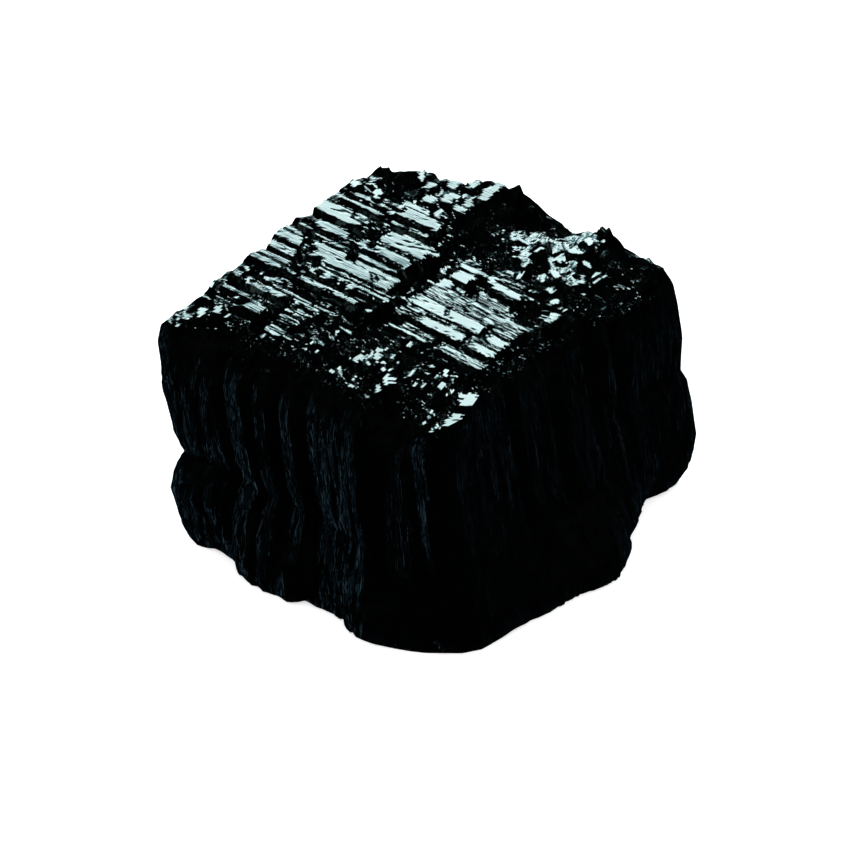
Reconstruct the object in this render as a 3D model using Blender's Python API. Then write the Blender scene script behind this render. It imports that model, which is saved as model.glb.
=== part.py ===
"""A raw black tourmaline crystal, broken from its rock: a blocky piece with a striated top and fluted sides.

One solid. The block starts as a cube cut into a grid, and each point of the grid is then carried onto the
crystal.
"""

import bmesh
import bpy
import numpy as np

MM = 0.001

# Overall sizes in millimetres. The striated top looks up, and the piece rests on the flat of its underside.
TOP_LEVEL = 25.0
CELLS_X = 32
CELLS_Y = 44
CELLS_Z = 12
GRAIN_SLOPE = 0.10
REST_LEVEL = 0.0
FOOT_ROUND = 0.3
CREST_ROUNDS = 12
ROW_CROWDING = 0.10

# The four upright edges from the base up: height, x, y.
SOUTH_WEST_EDGE = [
    (0.0, -17.6, -17.0),
    (2.4, -18.5, -17.4),
    (5.6, -19.0, -17.8),
    (8.1, -18.7, -17.5),
    (9.7, -17.8, -16.8),
    (12.0, -18.7, -17.3),
    (16.0, -19.2, -17.7),
    (22.0, -19.7, -17.8),
    (23.9, -19.4, -17.6),
    (25.2, -18.6, -16.9),
]
SOUTH_EAST_EDGE = [
    (0.0, 14.4, -16.6),
    (1.8, 14.9, -17.0),
    (9.3, 14.2, -17.8),
    (15.9, 13.6, -18.3),
    (21.3, 13.2, -18.6),
    (24.0, 13.6, -18.4),
    (25.2, 13.8, -17.8),
]
NORTH_EAST_EDGE = [
    (0.0, 14.8, 19.2),
    (2.0, 15.8, 20.1),
    (4.8, 16.1, 20.4),
    (8.6, 15.6, 20.0),
    (11.4, 15.2, 19.7),
    (12.6, 14.7, 19.3),
    (16.2, 14.7, 19.4),
    (19.8, 14.2, 19.0),
    (22.5, 13.8, 18.6),
    (24.2, 12.9, 18.0),
    (25.2, 11.4, 17.2),
]
NORTH_WEST_EDGE = [
    (0.0, -14.2, 16.8),
    (2.5, -15.6, 18.2),
    (8.0, -16.4, 18.4),
    (10.0, -15.9, 17.8),
    (15.0, -17.0, 17.6),
    (22.0, -18.2, 17.2),
    (25.2, -17.6, 16.4),
]

# The flutes of each side. Each row is a place along the side, then how far the wall stands out of the
# straight line between its two upright edges, at the four heights of FLUTE_HEIGHTS.
FLUTE_HEIGHTS = (0.0, 9.0, 19.0, 25.2)
SOUTH_FLUTES = [
    (-18.5, 0.0, 0.0, 0.0, 0.0),
    (-17.0, 0.7, 0.6, 0.7, -0.6),
    (-14.8, 0.6, 0.6, 0.5, -2.2),
    (-12.3, 0.8, 0.3, 0.2, -3.6),
    (-11.5, 1.0, -0.6, -0.7, -3.6),
    (-10.6, 2.2, 0.4, 0.3, -2.9),
    (-8.6, 3.1, 0.9, 0.7, -2.7),
    (-7.8, 2.8, 0.2, -0.1, -3.1),
    (-7.0, 3.2, 0.9, 0.7, -2.8),
    (-5.8, 3.1, 0.8, 0.6, -3.0),
    (-5.2, 2.9, -0.2, -0.5, -3.5),
    (-4.0, 3.2, 0.9, 0.7, -3.0),
    (-2.6, 2.3, 1.0, 0.8, -2.1),
    (-1.6, 2.3, 0.1, 0.0, -1.8),
    (-0.4, 2.3, 0.9, 0.8, -1.1),
    (1.6, 2.3, 1.2, 1.1, -0.6),
    (4.3, 3.9, 1.4, 1.3, -0.2),
    (5.2, 3.9, 2.1, 1.9, 0.3),
    (6.2, 3.8, 1.3, 1.0, -0.4),
    (8.2, 3.2, 1.1, 0.8, -2.9),
    (9.8, 2.6, 1.0, 0.8, -2.4),
    (11.0, 2.0, 0.4, 0.4, -0.4),
    (12.3, 1.1, 0.9, 0.9, 0.6),
    (13.8, 0.0, 0.0, 0.0, 0.0),
]
EAST_FLUTES = [
    (-18.6, 0.0, 0.0, 0.0, 0.0),
    (-17.0, 1.1, 0.7, 0.6, 0.4),
    (-14.0, 1.8, 0.6, 0.3, -0.3),
    (-10.4, 2.3, 0.5, 0.0, -1.1),
    (-8.0, 3.1, 0.4, -0.2, -1.5),
    (-7.0, 3.2, -0.3, -1.0, -2.2),
    (-6.0, 3.2, 0.5, -0.2, -1.7),
    (-4.0, 3.5, 0.4, -0.2, -1.6),
    (-2.0, 4.6, 0.6, -0.3, -1.5),
    (-1.2, 4.8, 0.1, -0.8, -1.8),
    (0.8, 5.0, 0.8, -0.2, -1.1),
    (3.7, 4.1, 0.7, 0.0, -0.8),
    (5.0, 3.0, 0.0, -0.6, -1.3),
    (7.4, 2.0, 0.5, 0.1, -0.9),
    (9.4, 1.1, -0.2, -0.6, -1.4),
    (10.4, 0.7, 0.3, 0.1, -0.8),
    (13.2, -0.4, -0.1, 0.2, -0.6),
    (14.9, 0.5, 0.2, 0.4, -0.3),
    (18.0, 0.8, 0.5, 0.4, 0.1),
    (19.6, 0.0, 0.0, 0.0, 0.0),
]
NORTH_FLUTES = [
    (-17.0, 0.0, 0.0, 0.0, 0.0),
    (-15.2, 0.6, 0.9, 1.3, 1.9),
    (-12.6, 0.9, 0.5, 0.8, 1.3),
    (-11.8, 0.3, -0.3, 0.1, 0.9),
    (-10.8, 1.0, 0.9, 1.2, 1.6),
    (-7.6, 1.6, 1.5, 1.8, 2.2),
    (-6.8, 1.1, 0.7, 1.1, 1.9),
    (-5.8, 1.5, 1.5, 1.9, 2.3),
    (-2.6, 1.1, 1.7, 1.9, 2.1),
    (-1.6, 0.4, 0.6, 0.9, 1.5),
    (0.4, 0.9, 1.2, 1.2, 1.4),
    (2.8, 1.4, 0.9, 0.7, 1.1),
    (3.6, 0.9, 0.1, 0.1, 1.0),
    (5.6, 1.7, 1.2, 1.1, 1.7),
    (8.0, 1.3, 1.3, 1.0, 1.5),
    (9.4, 0.6, 0.2, 0.2, 0.5),
    (11.2, 0.7, 0.7, 0.5, 0.4),
    (14.4, 0.0, 0.0, 0.0, 0.0),
]
WEST_FLUTES = [
    (-17.3, 0.0, 0.0, 0.0, 0.0),
    (-15.6, 0.3, 0.4, 0.4, 0.1),
    (-12.6, 0.9, 0.6, 0.3, 0.2),
    (-11.6, 0.5, -0.2, -0.4, -0.2),
    (-10.4, 1.2, 0.7, 0.5, 0.5),
    (-8.2, 1.4, 0.9, 0.8, 0.9),
    (-4.0, 1.0, 1.0, 1.1, 1.2),
    (-2.0, 0.4, 0.1, 0.0, 0.3),
    (-0.4, 1.3, 1.0, 1.0, 1.3),
    (3.6, 2.0, 1.3, 1.2, 1.5),
    (5.0, 1.2, 0.8, 0.8, 1.2),
    (6.6, 0.6, 0.2, 0.1, 0.9),
    (8.2, 1.1, 1.0, 1.0, 1.4),
    (10.2, 1.4, 1.3, 1.4, 1.7),
    (13.2, 0.9, 1.1, 1.3, 1.6),
    (14.6, 0.2, 0.3, 0.5, 1.0),
    (17.0, 0.0, 0.0, 0.0, 0.0),
]

# The ledges that cross the top, from south to north: a place across the grain, then the rise from TOP_LEVEL.
# The western ledges give way to the eastern ones at BLOCKS_MEET_X.
BLOCKS_MEET_X = -4.4
BLOCKS_MEET_WIDTH = 1.6
WEST_LEDGES = [
    (-18.0, -1.0),
    (-14.6, -0.5),
    (-12.4, -0.1),
    (-11.2, 0.0),
    (-10.8, -0.5),
    (-9.6, -0.1),
    (-8.4, -0.7),
    (-7.0, -0.6),
    (-6.2, 0.0),
    (-5.4, -0.2),
    (-4.8, 0.3),
    (-1.4, 0.3),
    (-0.8, 0.0),
    (0.4, -0.1),
    (1.0, 0.4),
    (3.0, 0.2),
    (3.6, 0.6),
    (5.4, 0.5),
    (6.2, -0.2),
    (7.2, 0.2),
    (8.2, 0.6),
    (10.8, 0.5),
    (11.6, -0.2),
    (13.6, 0.2),
    (19.0, 0.2),
]
EAST_LEDGES = [
    (-19.0, -0.7),
    (-14.0, -0.5),
    (-9.0, -0.6),
    (-8.0, -0.1),
    (-7.0, 0.2),
    (-6.2, -0.1),
    (-5.4, 0.1),
    (-3.9, 0.2),
    (-3.4, -0.1),
    (-2.6, 0.2),
    (-0.8, 0.3),
    (0.0, 0.0),
    (1.2, 0.2),
    (2.4, -0.2),
    (3.6, 0.2),
    (6.2, 0.4),
    (7.4, -0.2),
    (19.0, -0.3),
]

# The dark cleft that parts the top in two, as points along it, with its width and depth.
CLEFT_PATH = [(-4.6, 7.0), (-4.2, 4.0), (-3.6, 0.4), (-2.6, -2.4), (-2.7, -5.2), (-4.2, -8.2), (-4.6, -10.5)]
CLEFT_WIDTH = 1.7
CLEFT_DEPTH = 1.0

# Where the flat of the top gives way to the worn shoulder above the east side: y, then x. The shoulder falls
# away from that line at SHOULDER_SLOPE.
EAST_BROW = [
    (-19.0, 15.4),
    (-12.4, 14.4),
    (-9.8, 12.2),
    (-7.8, 10.6),
    (-3.8, 10.1),
    (2.2, 10.1),
    (4.0, 11.2),
    (6.1, 9.3),
    (8.8, 8.6),
    (13.6, 8.6),
    (16.8, 9.3),
    (21.0, 9.8),
]
SHOULDER_SLOPE = 0.42

# Lumps and hollows of the top: x, y, half length, half width, rise.
TOP_LUMPS = [
    (-4.6, 11.4, 3.2, 5.2, -1.9),
    (-1.6, 16.2, 3.4, 2.6, -1.1),
    (-7.3, 18.4, 3.2, 1.8, 1.3),
    (-2.9, 19.4, 3.8, 2.6, 3.2),
    (0.2, 18.9, 2.8, 2.0, 1.1),
    (2.6, 18.2, 1.7, 1.8, -0.5),
    (7.5, 18.6, 2.9, 2.4, 2.4),
    (12.3, 18.0, 2.5, 2.8, 1.6),
    (-18.6, -13.8, 1.8, 1.6, -0.6),
    (-19.4, -6.8, 2.4, 1.8, -0.1),
    (-18.0, 14.6, 2.0, 2.2, 1.2),
    (-13.2, 18.6, 2.4, 1.6, 1.1),
    (2.4, 13.0, 1.9, 2.6, 0.7),
    (5.8, 15.6, 2.3, 3.2, 0.8),
    (-0.2, 11.0, 1.6, 2.6, -0.6),
    (4.0, 8.6, 2.6, 1.8, -0.5),
    (6.8, 10.6, 1.6, 2.4, 0.4),
    (7.4, 4.2, 1.5, 2.6, -1.0),
    (10.0, 3.2, 1.6, 1.6, 0.4),
    (-15.6, 15.4, 2.6, 2.4, -1.3),
    (-12.7, 15.8, 1.0, 2.2, 0.5),
    (-9.6, 15.2, 2.6, 1.0, 0.6),
    (-10.4, 17.1, 2.0, 0.9, -0.9),
    (-15.6, 18.0, 1.4, 1.2, -0.2),
    (-18.8, 11.6, 1.8, 2.0, 0.2),
    (-19.0, 8.2, 1.6, 1.4, 0.9),
    (-19.0, 2.2, 2.0, 2.2, 0.5),
    (-18.6, -2.2, 1.4, 1.2, -0.5),
    (-16.6, -9.0, 2.2, 2.2, -0.7),
    (-11.3, -11.4, 1.2, 3.6, -1.0),
    (-3.0, -12.2, 2.6, 3.4, -0.9),
    (1.6, -12.6, 1.7, 2.6, 0.7),
    (5.2, -15.6, 1.5, 2.8, 0.9),
    (3.4, -10.4, 2.0, 1.2, -0.4),
    (8.6, -16.2, 2.4, 2.8, -0.8),
    (9.0, -12.4, 1.2, 1.6, 0.4),
    (12.0, -12.6, 1.5, 1.9, 0.7),
    (13.6, -16.8, 1.4, 2.2, 0.7),
    (10.6, -9.8, 2.4, 1.0, -0.6),
]

# Lumps and hollows of the walls: x, y, z, half width, half height, how far it stands out.
WALL_LUMPS = [
    (-15.8, -17.4, 6.2, 2.2, 3.0, 0.7),
    (-15.4, -17.4, 9.8, 2.6, 1.0, -0.5),
    (-10.8, -17.6, 3.0, 1.4, 3.0, -0.4),
    (-3.0, -18.6, 4.6, 1.8, 1.6, 0.4),
    (4.6, -19.6, 2.0, 2.0, 2.4, 0.5),
    (8.6, -18.6, 8.6, 2.4, 3.0, 0.4),
    (10.6, -18.6, 13.2, 1.6, 1.8, 0.3),
    (14.8, -12.0, 9.0, 3.0, 2.2, 0.5),
    (14.8, -12.4, 3.6, 2.4, 1.8, -0.4),
    (15.6, 1.0, 4.6, 6.0, 3.2, 0.9),
    (15.0, 2.0, 7.8, 6.4, 1.2, -0.4),
    (15.2, 14.4, 4.0, 2.6, 3.2, 0.4),
    (14.8, 15.8, 12.4, 4.0, 0.9, -0.5),
    (14.6, 10.0, 18.6, 2.6, 4.0, 0.4),
    (7.0, 19.4, 8.0, 3.4, 3.4, 0.6),
    (-2.0, 19.6, 14.0, 3.4, 1.2, -0.6),
    (-8.0, 19.4, 6.0, 3.4, 3.0, 0.6),
    (-13.4, 18.8, 15.6, 2.6, 3.4, 0.5),
    (-18.2, 9.0, 6.0, 3.4, 3.4, 0.6),
    (-18.2, 2.0, 14.0, 3.4, 1.2, -0.5),
    (-19.0, -6.0, 8.4, 4.0, 1.1, -0.5),
    (-18.8, -9.0, 4.4, 3.2, 2.8, 0.6),
    (-19.2, -12.0, 17.0, 2.4, 4.0, 0.4),
]

# Hollows of the underside, above the flat it rests on: x, y, half length, half width, depth.
UNDER_HOLLOWS = [
    (-16.4, -11.0, 3.2, 4.4, 1.3),
    (-18.2, 3.0, 4.6, 5.4, 1.7),
    (-15.6, 16.4, 7.0, 4.6, 1.9),
    (-4.0, 19.4, 3.8, 2.6, 1.1),
    (7.0, 19.8, 6.6, 3.4, 1.5),
    (16.6, 14.4, 3.4, 3.4, 0.7),
    (16.4, -11.4, 2.6, 3.4, 0.5),
    (-1.6, -18.6, 2.0, 2.0, 0.5),
    (-13.2, -17.2, 2.4, 1.6, 0.6),
]


def smooth(value):
    """Zero below 0, one above 1, and an even rise between."""
    value = np.clip(value, 0.0, 1.0)
    return value * value * (3.0 - 2.0 * value)


def dome(distance):
    """One at the middle of a lump, falling to zero at a distance of 1."""
    return smooth(1.0 - distance)


def edge_at(edge, height):
    """The x and y of an upright edge at each height."""
    rows = np.array(edge)
    return np.stack([np.interp(height, rows[:, 0], rows[:, column]) for column in (1, 2)], axis=-1)


def standing_out(flutes, share, height):
    """How far a fluted wall stands out at each share of its length and each height."""
    rows = np.array(flutes)
    places = (rows[:, 0] - rows[0, 0]) / (rows[-1, 0] - rows[0, 0])
    levels = [np.interp(share, places, rows[:, column]) for column in range(1, 5)]
    low, waist, shoulder, top = FLUTE_HEIGHTS
    upper = np.clip((height - shoulder) / (top - shoulder), 0.0, 1.0) ** 2
    out = levels[0]
    out = out + (levels[1] - out) * smooth((height - low) / (waist - low))
    out = out + (levels[2] - out) * np.clip((height - waist) / (shoulder - waist), 0.0, 1.0)
    return out + (levels[3] - out) * upper


def wall_line(side, share, height):
    """The x and y of a wall at each share of its length and each height."""
    start, end, flutes, outward = side
    first = edge_at(start, height)
    last = edge_at(end, height)
    line = first + (last - first) * share[..., None]
    foot = FOOT_ROUND * smooth(1.0 - height / FOOT_ROUND)
    out = standing_out(flutes, share, height) - foot * np.sin(np.pi * share)
    return line + out[..., None] * np.array(outward)


SOUTH = (SOUTH_WEST_EDGE, SOUTH_EAST_EDGE, SOUTH_FLUTES, (0.0, -1.0))
EAST = (SOUTH_EAST_EDGE, NORTH_EAST_EDGE, EAST_FLUTES, (1.0, 0.0))
NORTH = (NORTH_WEST_EDGE, NORTH_EAST_EDGE, NORTH_FLUTES, (0.0, 1.0))
WEST = (SOUTH_WEST_EDGE, NORTH_WEST_EDGE, WEST_FLUTES, (-1.0, 0.0))


def distance_to_path(x, y, path):
    """The shortest distance from each point to a line of straight pieces."""
    nearest = np.full(np.shape(x), np.inf)
    for (ax, ay), (bx, by) in zip(path[:-1], path[1:]):
        dx = bx - ax
        dy = by - ay
        along = np.clip(((x - ax) * dx + (y - ay) * dy) / (dx * dx + dy * dy), 0.0, 1.0)
        nearest = np.minimum(nearest, np.hypot(x - ax - along * dx, y - ay - along * dy))
    return nearest


def top_height(x, y):
    """The height of the top over each point: ledges along the grain, the shoulder, the cleft and the lumps."""
    across = y + GRAIN_SLOPE * x
    west = np.interp(across, *np.array(WEST_LEDGES).T)
    east = np.interp(across, *np.array(EAST_LEDGES).T)
    height = TOP_LEVEL + west + (east - west) * smooth((x - BLOCKS_MEET_X) / BLOCKS_MEET_WIDTH)
    height = height - SHOULDER_SLOPE * np.maximum(x - np.interp(y, *np.array(EAST_BROW).T), 0.0)
    height = height - CLEFT_DEPTH * dome(distance_to_path(x, y, CLEFT_PATH) / CLEFT_WIDTH)
    for place_x, place_y, half_x, half_y, rise in TOP_LUMPS:
        height = height + rise * dome(np.hypot((x - place_x) / half_x, (y - place_y) / half_y))
    return height


def under_height(x, y):
    """The height of the underside over each point: flat where it rests, and hollow round the edge."""
    height = np.full(np.shape(x), REST_LEVEL)
    for place_x, place_y, half_x, half_y, depth in UNDER_HOLLOWS:
        height = height + depth * dome(np.hypot((x - place_x) / half_x, (y - place_y) / half_y))
    return height


def wall_point(side, share, rise):
    """The points of a wall, from the underside at a rise of 0 to the top at a rise of 1.

    The wall leans, so where it meets the top is found in a few rounds.
    """
    crest = np.full(np.shape(share), TOP_LEVEL)
    for _ in range(CREST_ROUNDS):
        place = wall_line(side, share, crest)
        crest = (crest + top_height(place[..., 0], place[..., 1])) / 2.0
    foot = wall_line(side, share, np.zeros(np.shape(share)))
    low = under_height(foot[..., 0], foot[..., 1])
    height = low + (crest - low) * rise
    return np.concatenate([wall_line(side, share, height), height[..., None]], axis=-1)


def block_point(u, v, rise):
    """Where each point of the block's grid goes: u runs west to east, v south to north, rise base to top."""
    east_share = u[..., None]
    north_share = v[..., None]
    south = wall_point(SOUTH, u, rise)
    north = wall_point(NORTH, u, rise)
    west = wall_point(WEST, v, rise)
    east = wall_point(EAST, v, rise)
    at_ends = (np.zeros(np.shape(u)), np.ones(np.shape(u)))
    ends = [wall_point(side, share, rise) for side in (SOUTH, NORTH) for share in at_ends]
    corners = (
        (1 - north_share) * ((1 - east_share) * ends[0] + east_share * ends[1])
        + north_share * ((1 - east_share) * ends[2] + east_share * ends[3])
    )
    across = (1 - north_share) * south + north_share * north
    along = (1 - east_share) * west + east_share * east
    return across + along - corners


def row_rise(share):
    """The rows of the walls stand closer together near the base and the top."""
    return share - ROW_CROWDING * np.sin(2.0 * np.pi * share)


def lump_out(points):
    """How far the walls' lumps and hollows push each point out."""
    out = np.zeros(len(points))
    for x, y, z, half_width, half_height, stand in WALL_LUMPS:
        flat = np.hypot(points[:, 0] - x, points[:, 1] - y) / half_width
        out += stand * dome(np.hypot(flat, (points[:, 2] - z) / half_height))
    return out


def crystal_points(cube):
    """The crystal's points for the points of a cube that runs from 0 to 1."""
    u, v, w = cube.T
    points = block_point(u, v, row_rise(w))
    on_wall = (w > 0) & (w < 1)
    inside = (u > 0) & (u < 1) & (v > 0) & (v < 1)
    top = inside & (w == 1)
    under = inside & (w == 0)
    points[top, 2] = top_height(points[top, 0], points[top, 1])
    points[under, 2] = under_height(points[under, 0], points[under, 1])
    from_axis = points[:, :2] / np.linalg.norm(points[:, :2], axis=1, keepdims=True).clip(1e-6)
    points[:, :2] += from_axis * (lump_out(points) * on_wall)[:, None]
    return points


def cut_along(bm, axis, cells):
    """Cuts every edge that runs along one axis into equal cells."""
    edges = []
    for edge in bm.edges:
        run = edge.verts[0].co - edge.verts[1].co
        if abs(run[axis]) > 0.5 * run.length:
            edges.append(edge)
    bmesh.ops.subdivide_edges(bm, edges=edges, cuts=cells - 1, use_grid_fill=True)


def make_crystal():
    """The crystal as one closed mesh, centred over its base."""
    bm = bmesh.new()
    bmesh.ops.create_cube(bm, size=1.0)
    for axis, cells in enumerate((CELLS_X, CELLS_Y, CELLS_Z)):
        cut_along(bm, axis, cells)
    bm.verts.ensure_lookup_table()
    cube = np.array([vertex.co[:] for vertex in bm.verts]) + 0.5
    points = crystal_points(np.round(cube, 6))
    middle = (points.min(axis=0) + points.max(axis=0)) / 2.0
    points -= (middle[0], middle[1], points[:, 2].min())
    for vertex, point in zip(bm.verts, points):
        vertex.co = point * MM
    bmesh.ops.triangulate(bm, faces=bm.faces[:], quad_method="SHORT_EDGE")
    bmesh.ops.recalc_face_normals(bm, faces=bm.faces[:])
    mesh = bpy.data.meshes.new("tourmaline_crystal")
    bm.to_mesh(mesh)
    bm.free()
    return mesh


def tourmaline():
    """Black tourmaline: near black, glassy where it is smooth."""
    material = bpy.data.materials.new("tourmaline")
    material.use_nodes = True
    shader = material.node_tree.nodes["Principled BSDF"]
    shader.inputs["Base Color"].default_value = (0.006, 0.007, 0.008, 1.0)
    shader.inputs["Roughness"].default_value = 0.25
    shader.inputs["IOR"].default_value = 1.63
    return material


for old in list(bpy.data.objects):
    bpy.data.objects.remove(old, do_unlink=True)

crystal = bpy.data.objects.new("tourmaline_crystal", make_crystal())
crystal.data.materials.append(tourmaline())
bpy.context.scene.collection.objects.link(crystal)
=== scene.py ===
"""The looks of a raw black tourmaline crystal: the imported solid's own form, carried on down to its plates,
striations and splinters, with its finish, a pale floor and soft studio light."""

import bmesh
import bpy
import numpy as np
from mathutils import Matrix, Vector, noise


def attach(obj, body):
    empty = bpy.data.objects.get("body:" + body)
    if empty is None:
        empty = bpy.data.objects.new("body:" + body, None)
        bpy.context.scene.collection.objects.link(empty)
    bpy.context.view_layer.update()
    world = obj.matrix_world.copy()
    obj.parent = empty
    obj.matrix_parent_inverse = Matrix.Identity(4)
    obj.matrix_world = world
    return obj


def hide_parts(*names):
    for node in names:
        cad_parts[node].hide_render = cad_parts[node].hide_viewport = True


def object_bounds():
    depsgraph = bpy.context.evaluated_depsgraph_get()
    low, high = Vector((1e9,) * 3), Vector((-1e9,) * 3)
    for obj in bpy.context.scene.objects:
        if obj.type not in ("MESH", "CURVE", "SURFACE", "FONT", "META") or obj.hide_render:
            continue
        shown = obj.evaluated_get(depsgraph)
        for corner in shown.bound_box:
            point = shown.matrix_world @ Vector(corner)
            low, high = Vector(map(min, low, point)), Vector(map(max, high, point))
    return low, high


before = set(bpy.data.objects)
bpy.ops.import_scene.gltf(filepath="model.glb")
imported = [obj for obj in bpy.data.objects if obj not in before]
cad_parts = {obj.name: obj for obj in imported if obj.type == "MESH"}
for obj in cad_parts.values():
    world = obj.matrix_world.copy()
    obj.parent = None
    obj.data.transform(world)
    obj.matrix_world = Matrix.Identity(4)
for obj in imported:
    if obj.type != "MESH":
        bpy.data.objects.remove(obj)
solid_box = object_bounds()

MM = 0.001
NODE = "tourmaline_crystal"

# How finely the crystal is cut: cells across and along the top, rows down the walls, rings under the base.
CELLS_X = 130
CELLS_Y = 340
WALL_ROWS = 34
BASE_RINGS = 12

# Overall sizes in millimetres. The striated top looks up, and the piece rests on the flat of its underside.
TOP_LEVEL = 25.0
GRAIN_SLOPE = 0.10
REST_LEVEL = 0.0
FOOT_ROUND = 0.3
CREST_ROUNDS = 12
ROW_CROWDING = 0.10

# The four upright edges from the base up: height, x, y.
SOUTH_WEST_EDGE = [
    (0.0, -17.6, -17.0), (2.4, -18.5, -17.4), (5.6, -19.0, -17.8), (8.1, -18.7, -17.5),
    (9.7, -17.8, -16.8), (12.0, -18.7, -17.3), (16.0, -19.2, -17.7), (22.0, -19.7, -17.8),
    (23.9, -19.4, -17.6), (25.2, -18.6, -16.9),
]
SOUTH_EAST_EDGE = [
    (0.0, 14.4, -16.6), (1.8, 14.9, -17.0), (9.3, 14.2, -17.8), (15.9, 13.6, -18.3),
    (21.3, 13.2, -18.6), (24.0, 13.6, -18.4), (25.2, 13.8, -17.8),
]
NORTH_EAST_EDGE = [
    (0.0, 14.8, 19.2), (2.0, 15.8, 20.1), (4.8, 16.1, 20.4), (8.6, 15.6, 20.0),
    (11.4, 15.2, 19.7), (12.6, 14.7, 19.3), (16.2, 14.7, 19.4), (19.8, 14.2, 19.0),
    (22.5, 13.8, 18.6), (24.2, 12.9, 18.0), (25.2, 11.4, 17.2),
]
NORTH_WEST_EDGE = [
    (0.0, -14.2, 16.8), (2.5, -15.6, 18.2), (8.0, -16.4, 18.4), (10.0, -15.9, 17.8),
    (15.0, -17.0, 17.6), (22.0, -18.2, 17.2), (25.2, -17.6, 16.4),
]

# The flutes of each side. Each row is a place along the side, then how far the wall stands out of the
# straight line between its two upright edges, at the four heights of FLUTE_HEIGHTS.
FLUTE_HEIGHTS = (0.0, 9.0, 19.0, 25.2)
SOUTH_FLUTES = [
    (-18.5, 0.0, 0.0, 0.0, 0.0), (-17.0, 0.7, 0.6, 0.7, -0.6), (-14.8, 0.6, 0.6, 0.5, -2.2),
    (-12.3, 0.8, 0.3, 0.2, -3.6), (-11.5, 1.0, -0.6, -0.7, -3.6), (-10.6, 2.2, 0.4, 0.3, -2.9),
    (-8.6, 3.1, 0.9, 0.7, -2.7), (-7.8, 2.8, 0.2, -0.1, -3.1), (-7.0, 3.2, 0.9, 0.7, -2.8),
    (-5.8, 3.1, 0.8, 0.6, -3.0), (-5.2, 2.9, -0.2, -0.5, -3.5), (-4.0, 3.2, 0.9, 0.7, -3.0),
    (-2.6, 2.3, 1.0, 0.8, -2.1), (-1.6, 2.3, 0.1, 0.0, -1.8), (-0.4, 2.3, 0.9, 0.8, -1.1),
    (1.6, 2.3, 1.2, 1.1, -0.6), (4.3, 3.9, 1.4, 1.3, -0.2), (5.2, 3.9, 2.1, 1.9, 0.3),
    (6.2, 3.8, 1.3, 1.0, -0.4), (8.2, 3.2, 1.1, 0.8, -2.9), (9.8, 2.6, 1.0, 0.8, -2.4),
    (11.0, 2.0, 0.4, 0.4, -0.4), (12.3, 1.1, 0.9, 0.9, 0.6), (13.8, 0.0, 0.0, 0.0, 0.0),
]
EAST_FLUTES = [
    (-18.6, 0.0, 0.0, 0.0, 0.0), (-17.0, 1.1, 0.7, 0.6, 0.4), (-14.0, 1.8, 0.6, 0.3, -0.3),
    (-10.4, 2.3, 0.5, 0.0, -1.1), (-8.0, 3.1, 0.4, -0.2, -1.5), (-7.0, 3.2, -0.3, -1.0, -2.2),
    (-6.0, 3.2, 0.5, -0.2, -1.7), (-4.0, 3.5, 0.4, -0.2, -1.6), (-2.0, 4.6, 0.6, -0.3, -1.5),
    (-1.2, 4.8, 0.1, -0.8, -1.8), (0.8, 5.0, 0.8, -0.2, -1.1), (3.7, 4.1, 0.7, 0.0, -0.8),
    (5.0, 3.0, 0.0, -0.6, -1.3), (7.4, 2.0, 0.5, 0.1, -0.9), (9.4, 1.1, -0.2, -0.6, -1.4),
    (10.4, 0.7, 0.3, 0.1, -0.8), (13.2, -0.4, -0.1, 0.2, -0.6), (14.9, 0.5, 0.2, 0.4, -0.3),
    (18.0, 0.8, 0.5, 0.4, 0.1), (19.6, 0.0, 0.0, 0.0, 0.0),
]
NORTH_FLUTES = [
    (-17.0, 0.0, 0.0, 0.0, 0.0), (-15.2, 0.6, 0.9, 1.3, 1.9), (-12.6, 0.9, 0.5, 0.8, 1.3),
    (-11.8, 0.3, -0.3, 0.1, 0.9), (-10.8, 1.0, 0.9, 1.2, 1.6), (-7.6, 1.6, 1.5, 1.8, 2.2),
    (-6.8, 1.1, 0.7, 1.1, 1.9), (-5.8, 1.5, 1.5, 1.9, 2.3), (-2.6, 1.1, 1.7, 1.9, 2.1),
    (-1.6, 0.4, 0.6, 0.9, 1.5), (0.4, 0.9, 1.2, 1.2, 1.4), (2.8, 1.4, 0.9, 0.7, 1.1),
    (3.6, 0.9, 0.1, 0.1, 1.0), (5.6, 1.7, 1.2, 1.1, 1.7), (8.0, 1.3, 1.3, 1.0, 1.5),
    (9.4, 0.6, 0.2, 0.2, 0.5), (11.2, 0.7, 0.7, 0.5, 0.4), (14.4, 0.0, 0.0, 0.0, 0.0),
]
WEST_FLUTES = [
    (-17.3, 0.0, 0.0, 0.0, 0.0), (-15.6, 0.3, 0.4, 0.4, 0.1), (-12.6, 0.9, 0.6, 0.3, 0.2),
    (-11.6, 0.5, -0.2, -0.4, -0.2), (-10.4, 1.2, 0.7, 0.5, 0.5), (-8.2, 1.4, 0.9, 0.8, 0.9),
    (-4.0, 1.0, 1.0, 1.1, 1.2), (-2.0, 0.4, 0.1, 0.0, 0.3), (-0.4, 1.3, 1.0, 1.0, 1.3),
    (3.6, 2.0, 1.3, 1.2, 1.5), (5.0, 1.2, 0.8, 0.8, 1.2), (6.6, 0.6, 0.2, 0.1, 0.9),
    (8.2, 1.1, 1.0, 1.0, 1.4), (10.2, 1.4, 1.3, 1.4, 1.7), (13.2, 0.9, 1.1, 1.3, 1.6),
    (14.6, 0.2, 0.3, 0.5, 1.0), (17.0, 0.0, 0.0, 0.0, 0.0),
]

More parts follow.
